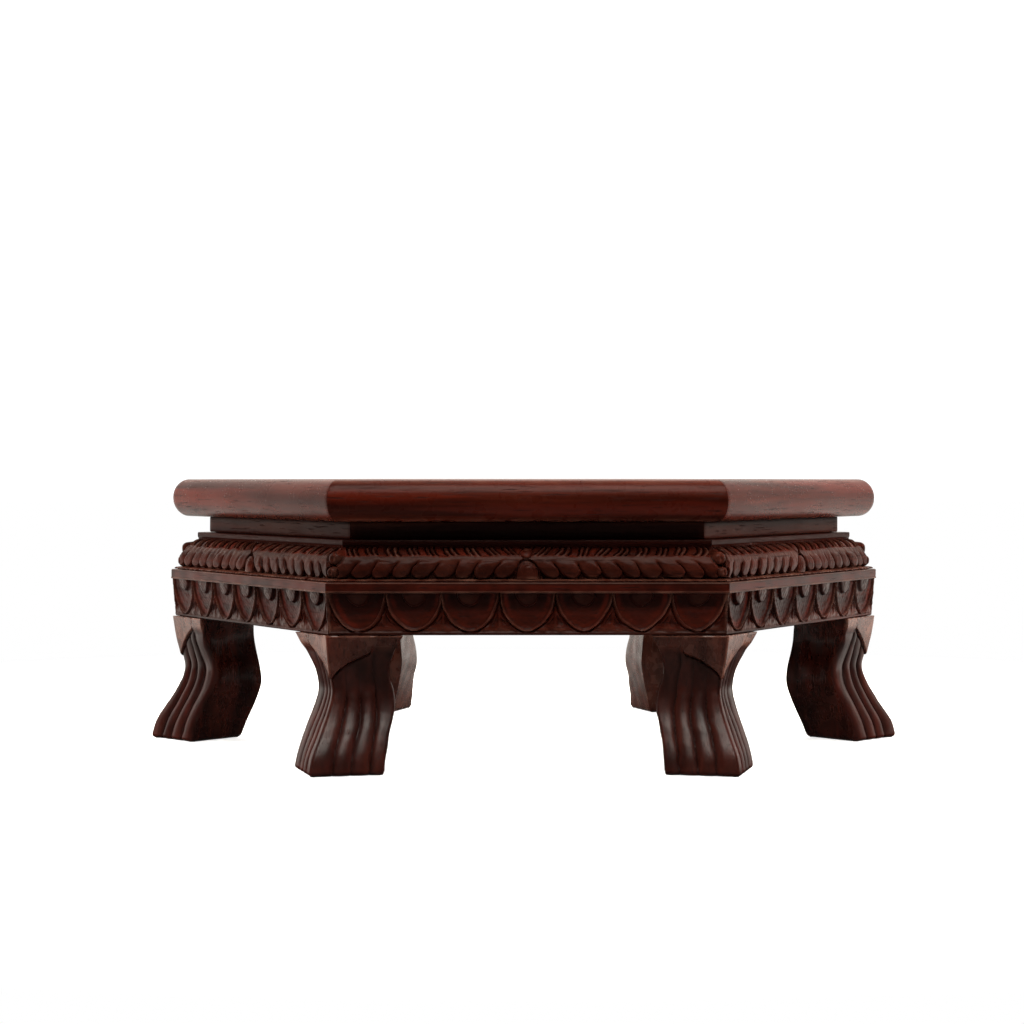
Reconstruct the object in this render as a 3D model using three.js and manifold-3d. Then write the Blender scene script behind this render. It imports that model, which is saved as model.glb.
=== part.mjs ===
// Low hexagonal table of dark stained hardwood: a mitred frame round a floating panel, a recessed waist,
// a carved round collar, carved aprons and six fluted cabriole legs.
// Millimetres, +Z up. The origin is on the floor under the middle of the table, and -Y is the front side.

import * as THREE from "three";
import { mergeVertices } from "three/addons/utils/BufferGeometryUtils.js";
import Module from "manifold-3d";

const wasm = await Module();
wasm.setup();

// Driving dimensions
const CLEARANCE = 0.3; // between pieces that are glued, seated or let into each other
const OVERLAP = 1; // how far solids of one piece run into each other, and cutters past a face

// Layers, from the floor up
const LEG_HEIGHT = 80.2;
const APRON_HEIGHT = 30.8;
const COLLAR_HEIGHT = 24.2;
const WAIST_HEIGHT = 10.3;
const TOP_THICKNESS = 24.5;

// Reach is the distance from the table's axis to the flat of a side
const TOP_REACH = 200;
const APRON_OVERSAIL = 1.3; // how far the apron's band stands out past the top's edge
const COLLAR_SETBACK = 4; // from the band's face to the roundest part of the collar
const WAIST_SETBACK = 21; // from the top's edge to the waist

// Top frame and panel
const NOSE_DEPTH = 9.5; // depth of the half-round edge
const FRAME_SHOULDER = 14; // wood between the leg's mortise and the frame's inner edge
const PANEL_THICKNESS = 12;
const PANEL_TONGUE_THICKNESS = 6;
const PANEL_TONGUE_LENGTH = 6.4;
const PANEL_EXPANSION = 1.1; // room that the panel's tongue has to swell in its groove
const MITRE_TENON_SHOULDER = 5; // wood between the leg's mortise and the mitre tenon
const MITRE_TENON_WIDTH = 18;
const MITRE_TENON_THICKNESS = 8;
const MITRE_TENON_LENGTH = 12;

// Battens under the panel
const BATTEN_SPACING = 90;
const BATTEN_WIDTH = 20;
const BATTEN_HEIGHT = 10;
const DOVETAIL_DEPTH = 4;
const DOVETAIL_FLARE = 1.5; // each side of a dovetail widens by this much over its depth
const BATTEN_TENON_WIDTH = 14;
const BATTEN_TENON_THICKNESS = 6;
const BATTEN_TENON_LENGTH = 8;
const BATTEN_TENON_SHOULDER = 2; // below the top of the batten

// Waist and collar
const WAIST_THICKNESS = 12;
const TONGUE_THICKNESS = 5;
const TONGUE_HEIGHT = 4;
const COLLAR_ROUND = 16; // radius of the collar's quarter round
const COLLAR_SPRING = 4.9; // height at which the quarter round starts above the collar's underside
const COLLAR_LIP_HEIGHT = 4.2; // least height of the flat fillet round the collar's upper edge
const COLLAR_FOOT_HEIGHT = 1.1; // thin ledge under the carved leaves
const COLLAR_FOOT_PROJECTION = 0.9;

// Leaf garland on the collar
const LEAVES_PER_HALF = 9;
const STEM_HEIGHT = 12; // height of the garland's stem above the collar's foot
const LEAF_DEPTH = 2.2; // thickness of the carved layer over the collar's core
const LEAF_GROOVE_DEPTH = 1.8; // between two leaves
const LEAF_SWELL = 0.6; // how far the lower leaves swell past the quarter round
const LEAF_SWEEP = 7; // how far a leaf's tip lies past its root, along the side
const BUD_WIDTH = 10.4;
const BUD_HEIGHT = 11.4;
const BUD_RISE = 1.6;
const CORNER_BEAD_DIAMETER = 8.4; // its outermost point lies on the quarter round's arris
const CORNER_BEAD_HEIGHT = 12; // of its middle above the collar's foot

// Apron
const APRON_THICKNESS = 16;
const BAND_HEIGHT = 6.2;
const BAND_CHAMFER = 0.5;
const BAND_PROJECTION = 0.8; // from the petals' rims out to the band's face
const CARVING_DEPTH = 2.8; // from the petals' rims down to the ground between them
const APRON_BATTER = 1.8; // how far the carving leans in from the band to the apron's foot
const EDGE_HEIGHT = 1.6; // plain edge under the petals
const PETALS_PER_SIDE = 7;
const PETAL_DROP = 22;
const PETAL_SPACING = 0.8; // between the rims of two petals, where they are widest
const RIM_WIDTH = 1.5;
const BOWL_DEPTH = 1.5; // from a rim down to the petal's hollow
const PETAL_TAPER = 1.3; // 1 is a half ellipse, and more is narrower towards the foot
const LOBE_WIDTH = 13; // small lobe that hangs inside each petal
const LOBE_DROP = 7;
const DART_WIDTH = 11; // tip of a petal of the row behind, between two petals
const DART_DROP = 18;
const DART_RISE = 1.3;
const KEY_WIDTH = 7; // dovetail key that slides the apron down onto its leg
const KEY_DEPTH = 5;
const KEY_FLARE = 1;

// Leg
const LEG_HEAD_WIDTH = 75; // from ear to ear, under the aprons
const LEG_PROUD = 0.8; // how far the leg's corner stands out past the apron's plain edge
const TENON_DIAGONAL = 14.4; // the leg's square tenon is set cornerwise
const TENON_DEPTH = 12; // into the underside of the top frame
const FLUTES_PER_FACE = 4;
const FLUTE_DEPTH = 2;
const ARRIS_DEPTH = 0.6; // how far the outermost ridges fall back at the leg's arrises
const STEPS_PER_FLUTE = 3;
const LEG_RINGS = 11;
const KNEE_RISE = 1.2; // how far the smooth knee stands out over the flutes
const KNEE_TIP = 0.69; // height of the knee's lower tip on the corner, as a share of the leg
const KNEE_ARCH = 0.185; // how much higher the knee's lower edge has risen when it turns up
const KNEE_WIDTH = 0.64; // share of the face that the knee covers before it turns up

// The leg's four arrises at each share of its height. Corner, side and back are distances along the diagonal
// from the corner of the leg's head, outwards positive, and halfWidth is square to the diagonal. All four are
// shares of the head's width.
const LEG_SECTIONS = [
  { share: 0, corner: 0.2, side: -0.205, halfWidth: 0.418, back: -0.572 },
  { share: 0.03, corner: 0.208, side: -0.199, halfWidth: 0.426, back: -0.588 },
  { share: 0.15, corner: 0.168, side: -0.233, halfWidth: 0.416, back: -0.641 },
  { share: 0.3, corner: 0.061, side: -0.301, halfWidth: 0.399, back: -0.714 },
  { share: 0.45, corner: -0.037, side: -0.386, halfWidth: 0.387, back: -0.763 },
  { share: 0.58, corner: -0.085, side: -0.408, halfWidth: 0.363, back: -0.753 },
  { share: 0.71, corner: -0.06, side: -0.36, halfWidth: 0.351, back: -0.721 },
  { share: 0.85, corner: -0.025, side: -0.311, halfWidth: 0.399, back: -0.699 },
  { share: 1, corner: 0, side: -0.305, halfWidth: 0.5, back: -0.697 },
];

// Derived levels and reaches
const apronBottom = LEG_HEIGHT + CLEARANCE;
const apronTop = LEG_HEIGHT + APRON_HEIGHT;
const collarBottom = apronTop + CLEARANCE;
const collarTop = apronTop + COLLAR_HEIGHT;
const waistBottom = collarTop + CLEARANCE;
const waistTop = collarTop + WAIST_HEIGHT;
const frameBottom = waistTop + CLEARANCE;
const frameTop = waistTop + TOP_THICKNESS;
const panelBottom = frameTop - PANEL_THICKNESS;

const SIDES = 6;
const sideAngle = (2 * Math.PI) / SIDES;
const mitreTan = Math.tan(sideAngle / 2);
const mitreCos = Math.cos(sideAngle / 2);
const rightCornerAngle = -Math.PI / 2 + sideAngle / 2; // of the front side's right-hand end
const leftCornerAngle = -Math.PI / 2 - sideAngle / 2;

const waistReach = TOP_REACH - WAIST_SETBACK;
const waistInner = waistReach - WAIST_THICKNESS;
const bandReach = TOP_REACH + APRON_OVERSAIL;
const apronInner = bandReach - APRON_THICKNESS;
const rimReach = bandReach - BAND_PROJECTION;
const groundReach = rimReach - CARVING_DEPTH;
const edgeReach = rimReach - APRON_BATTER;
const reliefRoot = groundReach - OVERLAP;
const collarReach = bandReach - COLLAR_SETBACK;

const legHeadRadius = edgeReach / mitreCos + LEG_PROUD;
const tenonCorner = (waistInner - CLEARANCE) / mitreCos;
const tenonBack = tenonCorner - TENON_DIAGONAL;
const tenonTop = frameBottom + TENON_DEPTH;
const frameInner = tenonBack * mitreCos - FRAME_SHOULDER;
const panelReach = frameInner - CLEARANCE;

// Finishes
const stainedWood = { color: 0x2a0f0b, roughness: 0.35, metalness: 0 };
const carvedWood = { color: 0x24100c, roughness: 0.4, metalness: 0 };
const bareWood = { color: 0x3a231a, roughness: 0.65, metalness: 0 };

function toSolid(geometry) {
  const bare = geometry.clone();
  bare.deleteAttribute("normal");
  bare.deleteAttribute("uv");
  const merged = mergeVertices(bare, 1e-4);
  return new wasm.Manifold(
    new wasm.Mesh({
      numProp: 3,
      vertProperties: Float32Array.from(merged.attributes.position.array),
      triVerts: Uint32Array.from(merged.index.array),
    }),
  );
}

function toGeometry(solid) {
  const { vertProperties, triVerts } = solid.getMesh();
  const geometry = new THREE.BufferGeometry();
  geometry.setAttribute("position", new THREE.BufferAttribute(vertProperties, 3));
  geometry.setIndex(new THREE.BufferAttribute(triVerts, 1));
  geometry.computeVertexNormals();
  return geometry;
}

function outline(points) {
  return new THREE.Shape(points.map(([x, y]) => new THREE.Vector2(x, y)));
}

function arcPoints(middleX, middleY, radiusX, radiusY, from, to, steps) {
  const points = [];
  for (let i = 0; i <= steps; i += 1) {
    const angle = THREE.MathUtils.lerp(from, to, i / steps);
    points.push([middleX + radiusX * Math.cos(angle), middleY + radiusY * Math.sin(angle)]);
  }
  return points;
}

// A bar along the front side, mitred at both ends. The profile's x is reach and its y is height.
function mitredBar(profile) {
  const geometry = new THREE.ExtrudeGeometry(profile, { depth: 1, bevelEnabled: false });
  const position = geometry.attributes.position;
  for (let i = 0; i < position.count; i += 1) {
    const reach = position.getX(i);
    const end = position.getZ(i) < 0.5 ? 1 : -1;
    position.setXYZ(i, end * (reach * mitreTan - CLEARANCE / 2 / mitreCos), -reach, position.getY(i));
  }
  return toSolid(geometry);
}

// Cuts what is carved on a bar back to the planes of its mitres
function trimToMitres(solid, inner, outer, bottom, top) {
  const envelope = outline([
    [inner, bottom],
    [outer, bottom],
    [outer, top],
    [inner, top],
  ]);
  return solid.intersect(mitredBar(envelope));
}

// Closes a stack of rings that run counterclockwise about the way they are stacked. The ends are flattened
// to the plane that they face for their caps.
function loft(rings, flatten) {
  const count = rings[0].length;
  const points = rings.flat();
  const indices = [];
  for (let k = 0; k + 1 < rings.length; k += 1) {
    for (let i = 0; i < count; i += 1) {
      const a = k * count + i;
      const b = k * count + ((i + 1) % count);
      indices.push(a, b, b + count, a, b + count, a + count);
    }
  }
  const cap = (ring) => THREE.ShapeUtils.triangulateShape(ring.map(flatten), []);
  for (const [a, b, c] of cap(rings[0])) {
    indices.push(a, c, b);
  }
  const last = (rings.length - 1) * count;
  for (const [a, b, c] of cap(rings.at(-1))) {
    indices.push(last + a, last + b, last + c);
  }
  const geometry = new THREE.BufferGeometry().setFromPoints(points);
  geometry.setIndex(indices);
  return toSolid(geometry);
}

// An upright prism over an outline drawn in plan
function prism(plan, bottom, top) {
  const geometry = new THREE.ExtrudeGeometry(plan, { depth: top - bottom, bevelEnabled: false });
  return toSolid(geometry.translate(0, 0, bottom));
}

function block(x0, x1, y0, y1, z0, z1) {
  const geometry = new THREE.BoxGeometry(x1 - x0, y1 - y0, z1 - z0);
  return toSolid(geometry.translate((x0 + x1) / 2, (y0 + y1) / 2, (z0 + z1) / 2));
}

// The same block, drawn with +X along the diagonal of the table that has this angle
function blockOnDiagonal(angle, x0, x1, y0, y1, z0, z1) {
  return block(x0, x1, y0, y1, z0, z1).rotate([0, 0, THREE.MathUtils.radToDeg(angle)]);
}

// Top frame: mitred members with a tenon on one end and its mortise in the other

function waistGroove() {
  const middle = waistReach - WAIST_THICKNESS / 2;
  return [middle - TONGUE_THICKNESS / 2 - CLEARANCE, middle + TONGUE_THICKNESS / 2 + CLEARANCE];
}

function frameProfile() {
  const [grooveIn, grooveOut] = waistGroove();
  const grooveTop = frameBottom + TONGUE_HEIGHT;
  const slotInner = frameInner + PANEL_TONGUE_LENGTH + PANEL_EXPANSION;
  const slotTop = panelBottom + PANEL_TONGUE_THICKNESS + CLEARANCE;
  const noseMiddle = (frameBottom + frameTop) / 2;
  const noseHalf = (frameTop - frameBottom) / 2;
  const down = -Math.PI / 2;
  const nose = arcPoints(TOP_REACH - NOSE_DEPTH, noseMiddle, NOSE_DEPTH, noseHalf, down, -down, 10);
  return outline([
    [frameInner, frameBottom],
    [grooveIn, frameBottom],
    [grooveIn, grooveTop],
    [grooveOut, grooveTop],
    [grooveOut, frameBottom],
    ...nose,
    [frameInner, frameTop],
    [frameInner, slotTop],
    [slotInner, slotTop],
    [slotInner, panelBottom - CLEARANCE],
    [frameInner, panelBottom - CLEARANCE],
  ]);
}

// The mitre tenon lies outside the leg's mortise, in the middle of the frame's thickness
function mitreTenon(angle, slack) {
  const inner = tenonCorner + MITRE_TENON_SHOULDER;
  const middle = (frameBottom + frameTop) / 2;
  return blockOnDiagonal(
    angle,
    inner - slack,
    inner + MITRE_TENON_WIDTH + slack,
    -OVERLAP,
    MITRE_TENON_LENGTH + slack,
    middle - MITRE_TENON_THICKNESS / 2 - slack,
    middle + MITRE_TENON_THICKNESS / 2 + slack,
  );
}

function legTenonPlan(slack) {
  const half = TENON_DIAGONAL / 2;
  const middle = tenonCorner - half;
  const reach = half + slack * Math.SQRT2;
  return outline([
    [middle + reach, 0],
    [middle, reach],
    [middle - reach, 0],
    [middle, -reach],
  ]);
}

function legMortise(angle) {
  const cutter = prism(legTenonPlan(CLEARANCE), frameBottom - OVERLAP, tenonTop + CLEARANCE);
  return cutter.rotate([0, 0, THREE.MathUtils.radToDeg(angle)]);
}

function battenTenon(x, slack) {
  const top = panelBottom - BATTEN_TENON_SHOULDER;
  return block(
    x - BATTEN_TENON_WIDTH / 2 - slack,
    x + BATTEN_TENON_WIDTH / 2 + slack,
    -frameInner - BATTEN_TENON_LENGTH - slack,
    -panelReach + OVERLAP,
    top - BATTEN_TENON_THICKNESS - slack,
    top + slack,
  );
}

function frameMember(takesBattens) {
  let member = mitredBar(frameProfile())
    .add(mitreTenon(rightCornerAngle, 0))
    .subtract(mitreTenon(leftCornerAngle, CLEARANCE))
    .subtract(legMortise(leftCornerAngle))
    .subtract(legMortise(rightCornerAngle));
  if (takesBattens) {
    for (const side of [-1, 1]) {
      member = member.subtract(battenTenon((side * BATTEN_SPACING) / 2, CLEARANCE));
    }
  }
  return toGeometry(member);
}

// Panel: it floats in the frame's grooves, with slots for its two battens
function hexagonPlan(reach) {
  const points = [];
  for (let i = 0; i < SIDES; i += 1) {
    const angle = i * sideAngle;
    points.push([(reach / mitreCos) * Math.cos(angle), (reach / mitreCos) * Math.sin(angle)]);
  }
  return outline(points);
}

// A dovetail in end view, standing on its narrow side: x across and y up from the shoulder
function dovetailOutline(width, depth, flare, slack, sink) {
  const foot = width / 2 + slack;
  return outline([
    [-foot, -sink],
    [foot, -sink],
    [foot, 0],
    [foot + flare, depth + slack],
    [-foot - flare, depth + slack],
    [-foot, 0],
  ]);
}

function battenDovetail(x, halfLength, slack, sink) {
  const neck = BATTEN_WIDTH - 2 * DOVETAIL_FLARE;
  const section = dovetailOutline(neck, DOVETAIL_DEPTH, DOVETAIL_FLARE, slack, sink);
  const geometry = new THREE.ExtrudeGeometry(section, { depth: 2 * halfLength, bevelEnabled: false });
  geometry.rotateX(Math.PI / 2);
  return toSolid(geometry.translate(x, halfLength, panelBottom));
}

function panel() {
  const tongueReach = frameInner + PANEL_TONGUE_LENGTH;
  let board = prism(hexagonPlan(panelReach), panelBottom, frameTop).add(
    prism(hexagonPlan(tongueReach), panelBottom, panelBottom + PANEL_TONGUE_THICKNESS),
  );
  for (const side of [-1, 1]) {
    const x = (side * BATTEN_SPACING) / 2;
    board = board.subtract(battenDovetail(x, tongueReach + OVERLAP, CLEARANCE, OVERLAP));
  }
  return toGeometry(board);
}

function batten(side) {
  const x = (side * BATTEN_SPACING) / 2;
  const bottom = panelBottom - BATTEN_HEIGHT;
  const half = BATTEN_WIDTH / 2;
  const body = block(x - half, x + half, -panelReach, panelReach, bottom, panelBottom - CLEARANCE);
  const tenon = battenTenon(x, 0);
  const rearTenon = battenTenon(-x, 0).rotate([0, 0, 180]);
  return toGeometry(body.add(battenDovetail(x, panelReach, 0, OVERLAP)).add(tenon).add(rearTenon));
}

// Waist: plain boards with a tongue along each edge
function waistBoard() {
  const [grooveIn, grooveOut] = waistGroove();
  const tongueIn = grooveIn + CLEARANCE;
  const tongueOut = grooveOut - CLEARANCE;
  const profile = outline([
    [waistInner, waistBottom],
    [tongueIn, waistBottom],
    [tongueIn, collarTop - TONGUE_HEIGHT + CLEARANCE],
    [tongueOut, collarTop - TONGUE_HEIGHT + CLEARANCE],
    [tongueOut, waistBottom],
    [waistReach, waistBottom],
    [waistReach, waistTop],
    [tongueOut, waistTop],
    [tongueOut, frameBottom + TONGUE_HEIGHT - CLEARANCE],
    [tongueIn, frameBottom + TONGUE_HEIGHT - CLEARANCE],
    [tongueIn, waistTop],
    [waistInner, waistTop],
  ]);
  return toGeometry(mitredBar(profile));
}

// Collar: a quarter round that carries the waist, carved with a garland of leaves
const roundMiddle = new THREE.Vector2(collarReach - COLLAR_ROUND, collarBottom + COLLAR_SPRING);
const coreRadius = COLLAR_ROUND - LEAF_DEPTH;
const lipRise = Math.min(0.98 * coreRadius, collarTop - COLLAR_LIP_HEIGHT - roundMiddle.y);
const collarFoot = collarBottom + COLLAR_FOOT_HEIGHT;

function collarProfile() {
  const [grooveIn, grooveOut] = waistGroove();
  const lipAngle = Math.asin(lipRise / coreRadius);
  const round = arcPoints(roundMiddle.x, roundMiddle.y, coreRadius, coreRadius, 0, lipAngle, 4);
  const lipReach = roundMiddle.x + COLLAR_ROUND * Math.cos(lipAngle);
  return outline([
    [waistInner, collarBottom],
    [collarReach + COLLAR_FOOT_PROJECTION, collarBottom],
    [collarReach + COLLAR_FOOT_PROJECTION, collarFoot],
    [collarReach - LEAF_DEPTH, collarFoot],
    ...round,
    [lipReach, roundMiddle.y + lipRise],
    [lipReach, collarTop],
    [grooveOut, collarTop],
    [grooveOut, collarTop - TONGUE_HEIGHT],
    [grooveIn, collarTop - TONGUE_HEIGHT],
    [grooveIn, collarTop],
    [waistInner, collarTop],
  ]);
}

// Point at this height on the quarter round, or that far inside or outside it
function onCollar(x, height, offset) {
  const rise = THREE.MathUtils.clamp((height - roundMiddle.y) / COLLAR_ROUND, 0, 0.95);
  const out = Math.sqrt(1 - rise * rise);
  return new THREE.Vector3(x, -(roundMiddle.x + (COLLAR_ROUND + offset) * out), height + offset * rise);
}

// The garland's left half: each leaf is a ridge that sweeps from the stem towards the corner, with a groove
// on either side of it. The strip's back lies inside the collar's core.
function garland() {
  const halfLength = (collarReach + CORNER_BEAD_DIAMETER) * mitreTan;
  const pitch = (collarReach * mitreTan - BUD_WIDTH / 2) / LEAVES_PER_HALF;
  const stem = collarFoot + STEM_HEIGHT;
  const leafTop = roundMiddle.y + lipRise - CLEARANCE;
  const rings = [];
  for (let i = 0; (i / 2) * pitch <= halfLength; i += 1) {
    const root = (i / 2) * pitch;
    const carving = i % 2 === 1 ? 0 : -LEAF_GROOVE_DEPTH;
    rings.push([
      onCollar(-root, collarFoot, -2 * LEAF_DEPTH),
      onCollar(-root - LEAF_SWEEP, collarFoot, -LEAF_DEPTH / 2 + carving / 3),
      onCollar(-root - LEAF_SWEEP / 2, (collarFoot + stem) / 2, LEAF_SWELL + carving),
      onCollar(-root, stem, 0),
      onCollar(-root - LEAF_SWEEP, leafTop, carving / 2),
      onCollar(-root, leafTop, -2 * LEAF_DEPTH),
    ]);
  }
  return loft(rings, ({ y, z }) => new THREE.Vector2(-y, z));
}

function collar() {
  const half = garland();
  const budMiddle = collarFoot + BUD_HEIGHT / 2;
  const bud = new THREE.SphereGeometry(1, 10, 5).scale(BUD_WIDTH / 2, BUD_RISE + LEAF_DEPTH, BUD_HEIGHT / 2);
  bud.translate(0, -collarReach + LEAF_DEPTH, budMiddle);
  let solid = mitredBar(collarProfile()).add(half).add(half.mirror([1, 0, 0])).add(toSolid(bud));
  const roundReach = -onCollar(0, collarFoot + CORNER_BEAD_HEIGHT, 0).y;
  const beadDistance = roundReach / mitreCos - CORNER_BEAD_DIAMETER / 2;
  for (const angle of [leftCornerAngle, rightCornerAngle]) {
    const bead = new THREE.SphereGeometry(CORNER_BEAD_DIAMETER / 2, 8, 5);
    bead.translate(beadDistance, 0, collarFoot + CORNER_BEAD_HEIGHT).rotateZ(angle);
    solid = solid.add(toSolid(bead));
  }
  const outermost = collarReach + CORNER_BEAD_DIAMETER;
  return toGeometry(trimToMitres(solid, waistInner, outermost, collarBottom, collarTop));
}

// Apron: a plain band over a row of hollowed petals, with keys at the back for the legs
function apronProfile() {
  const bandBottom = apronTop - BAND_HEIGHT;
  return outline([
    [apronInner, apronBottom],
    [edgeReach, apronBottom],
    [edgeReach, apronBottom + EDGE_HEIGHT],
    [groundReach - APRON_BATTER, apronBottom + EDGE_HEIGHT + BAND_CHAMFER],
    [groundReach, bandBottom],
    [bandReach, bandBottom],
    [bandReach, apronTop - BAND_CHAMFER],
    [bandReach - BAND_CHAMFER, apronTop],
    [apronInner, apronTop],
  ]);
}

// Points of a petal's edge from its left shoulder round its foot to its right shoulder
function petalCurve(halfWidth, drop, steps) {
  const points = [];
  for (let i = 0; i <= steps; i += 1) {
    const turn = Math.PI * (1 + i / steps);
    const x = Math.sign(Math.cos(turn)) * Math.abs(Math.cos(turn)) ** PETAL_TAPER;
    points.push([halfWidth * x, drop * Math.sin(turn)]);
  }
  return points;
}

// A relief drawn in front view, x across and y up from the band's underside. It leans in with the ground.
function relief(shape, from, to) {
  const geometry = new THREE.ExtrudeGeometry(shape, { depth: to - from, bevelEnabled: false });
  geometry.translate(0, 0, from);
  geometry.rotateX(Math.PI / 2);
  const lean = APRON_BATTER / (apronTop - BAND_HEIGHT - apronBottom);
  geometry.applyMatrix4(new THREE.Matrix4().makeShear(0, 0, 0, 0, 0, -lean));
  return toSolid(geometry.translate(0, 0, apronTop - BAND_HEIGHT));
}

function petal(pitch) {
  const halfWidth = (pitch - PETAL_SPACING) / 2;
  const hollowHalf = halfWidth - RIM_WIDTH;
  const lobeHalf = LOBE_WIDTH / 2;
  const rim = outline([...petalCurve(halfWidth, PETAL_DROP, 8), [halfWidth, OVERLAP], [-halfWidth, OVERLAP]]);
  const hollow = outline(petalCurve(hollowHalf, PETAL_DROP - RIM_WIDTH, 6));
  const lobe = outline([...petalCurve(lobeHalf, LOBE_DROP, 4), [lobeHalf, OVERLAP], [-lobeHalf, OVERLAP]]);
  return relief(rim, reliefRoot, rimReach)
    .subtract(relief(hollow, rimReach - BOWL_DEPTH, rimReach + OVERLAP))
    .add(relief(lobe, reliefRoot, rimReach));
}

function dart() {
  const shape = outline([
    [0, DART_DROP - PETAL_DROP],
    [-DART_WIDTH / 2, -PETAL_DROP],
    [DART_WIDTH / 2, -PETAL_DROP],
  ]);
  return relief(shape, reliefRoot, groundReach + DART_RISE);
}

// The dovetail key of the leg at this end of the front side
function apronKey(side, slack) {
  const plan = dovetailOutline(KEY_WIDTH - 2 * KEY_FLARE, KEY_DEPTH, KEY_FLARE, slack, OVERLAP);
  const x = side * (apronInner * mitreTan - keyOffset);
  const cutPast = slack > 0 ? OVERLAP : 0;
  return prism(plan, apronBottom - slack, apronTop + cutPast).translate([x, -apronInner, 0]);
}

function apron() {
  const pitch = (2 * edgeReach * mitreTan) / PETALS_PER_SIDE;
  let solid = mitredBar(apronProfile());
  for (let i = 0; i < PETALS_PER_SIDE; i += 1) {
    const x = (i - (PETALS_PER_SIDE - 1) / 2) * pitch;
    solid = solid.add(petal(pitch).translate([x, 0, 0]));
    if (i > 0) {
      solid = solid.add(dart().translate([x - pitch / 2, 0, 0]));
    }
  }
  solid = trimToMitres(solid, apronInner, bandReach, apronBottom, apronTop);
  return toGeometry(solid.add(apronKey(-1, 0)).add(apronKey(1, 0)));
}

// Leg: lofted between its arrises, with a post behind the aprons and a square tenon into the top frame
const postCorner = (apronInner - CLEARANCE) / mitreCos;
const postBack = legHeadRadius + LEG_HEAD_WIDTH * LEG_SECTIONS.at(-1).back;
const postHalfWidth = (postCorner - postBack) / (1 + mitreTan);
const keyOffset = postHalfWidth / mitreCos / 2;

function arris(outwards, sideways) {
  const points = LEG_SECTIONS.map((section) => {
    const radius = legHeadRadius + LEG_HEAD_WIDTH * section[outwards];
    const offset = sideways ? LEG_HEAD_WIDTH * section[sideways] : 0;
    return new THREE.Vector3(radius, offset, LEG_HEIGHT * section.share);
  });
  return new THREE.CatmullRomCurve3(points, false, "catmullrom");
}

const cornerArris = arris("corner");
const sideArris = arris("side", "halfWidth");
const backArris = arris("back");

// How far the carved surface stands out from the flat face: across runs from the corner to the side arris
function legCarving(across, share) {
  const turnUp = THREE.MathUtils.smoothstep(across, KNEE_WIDTH, KNEE_WIDTH + 0.1);
  const kneeEdge = KNEE_TIP + KNEE_ARCH * Math.sqrt(Math.min(across / KNEE_WIDTH, 1)) + turnUp;
  const onKnee = THREE.MathUtils.smoothstep(share, kneeEdge - 0.02, kneeEdge + 0.02);
  const phase = (across * FLUTES_PER_FACE) % 1;
  const groove = 1 - Math.sqrt(Math.max(0, 1 - (2 * phase - 1) ** 2));
  const depth = across === 0 || across === 1 ? ARRIS_DEPTH : FLUTE_DEPTH;
  const fade = THREE.MathUtils.mapLinear(THREE.MathUtils.smoothstep(share, 0.5, 0.85), 0, 1, 1, 0.5);
  return onKnee * KNEE_RISE - (1 - onKnee) * groove * fade * depth;
}

function legRing(curveShare) {
  const corner = cornerArris.getPoint(curveShare);
  const side = sideArris.getPoint(curveShare);
  const back = backArris.getPoint(curveShare);
  const share = corner.z / LEG_HEIGHT;
  const steps = FLUTES_PER_FACE * STEPS_PER_FLUTE;
  const normal = new THREE.Vector3(side.y, corner.x - side.x, 0).normalize();
  const face = [];
  for (let i = 0; i <= steps; i += 1) {
    const across = i / steps;
    const carving = legCarving(across, share);
    const point = corner.clone().lerp(side, across);
    face.push(i === 0 ? point.setX(point.x + carving) : point.addScaledVector(normal, carving));
  }
  const mirrored = face.slice(1).reverse().map((point) => new THREE.Vector3(point.x, -point.y, point.z));
  return [...face, back, ...mirrored];
}

function leg() {
  const rings = [];
  for (let k = 0; k <= LEG_RINGS; k += 1) {
    rings.push(legRing(k / LEG_RINGS));
  }
  const postPlan = outline([
    [postCorner, 0],
    [postCorner - postHalfWidth * mitreTan, postHalfWidth],
    [postBack, 0],
    [postCorner - postHalfWidth * mitreTan, -postHalfWidth],
  ]);
  let solid = loft(rings, ({ x, y }) => new THREE.Vector2(x, y))
    .add(prism(postPlan, LEG_HEIGHT - OVERLAP, apronTop))
    .add(prism(legTenonPlan(0), apronTop - OVERLAP, tenonTop));
  const rightEnd = THREE.MathUtils.radToDeg(rightCornerAngle);
  const leftEnd = THREE.MathUtils.radToDeg(leftCornerAngle);
  solid = solid.subtract(apronKey(1, CLEARANCE).rotate([0, 0, -rightEnd]));
  solid = solid.subtract(apronKey(-1, CLEARANCE).rotate([0, 0, -leftEnd]));
  return toGeometry(solid);
}

// Assembly
const group = new THREE.Group();

function place(name, geometry, finish, angle = 0) {
  const mesh = new THREE.Mesh(geometry, new THREE.MeshStandardMaterial(finish));
  mesh.name = name;
  mesh.rotation.z = angle;
  group.add(mesh);
}

const sideNames = ["front", "front_right", "back_right", "back", "back_left", "front_left"];
const legNames = ["front_right", "right", "back_right", "back_left", "left", "front_left"];

const plainMember = frameMember(false);
const battenMember = frameMember(true);
const waist = waistBoard();
const carvedCollar = collar();
const carvedApron = apron();
const carvedLeg = leg();

sideNames.forEach((name, i) => {
  const angle = i * sideAngle;
  const takesBattens = name === "front" || name === "back";
  place(`top_frame_${name}`, takesBattens ? battenMember : plainMember, stainedWood, angle);
  place(`waist_${name}`, waist, stainedWood, angle);
  place(`collar_${name}`, carvedCollar, carvedWood, angle);
  place(`apron_${name}`, carvedApron, carvedWood, angle);
});
legNames.forEach((name, i) => {
  place(`leg_${name}`, carvedLeg, carvedWood, rightCornerAngle + i * sideAngle);
});
place("top_panel", panel(), stainedWood);
place("batten_left", batten(-1), bareWood);
place("batten_right", batten(1), bareWood);

export default group;
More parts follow.
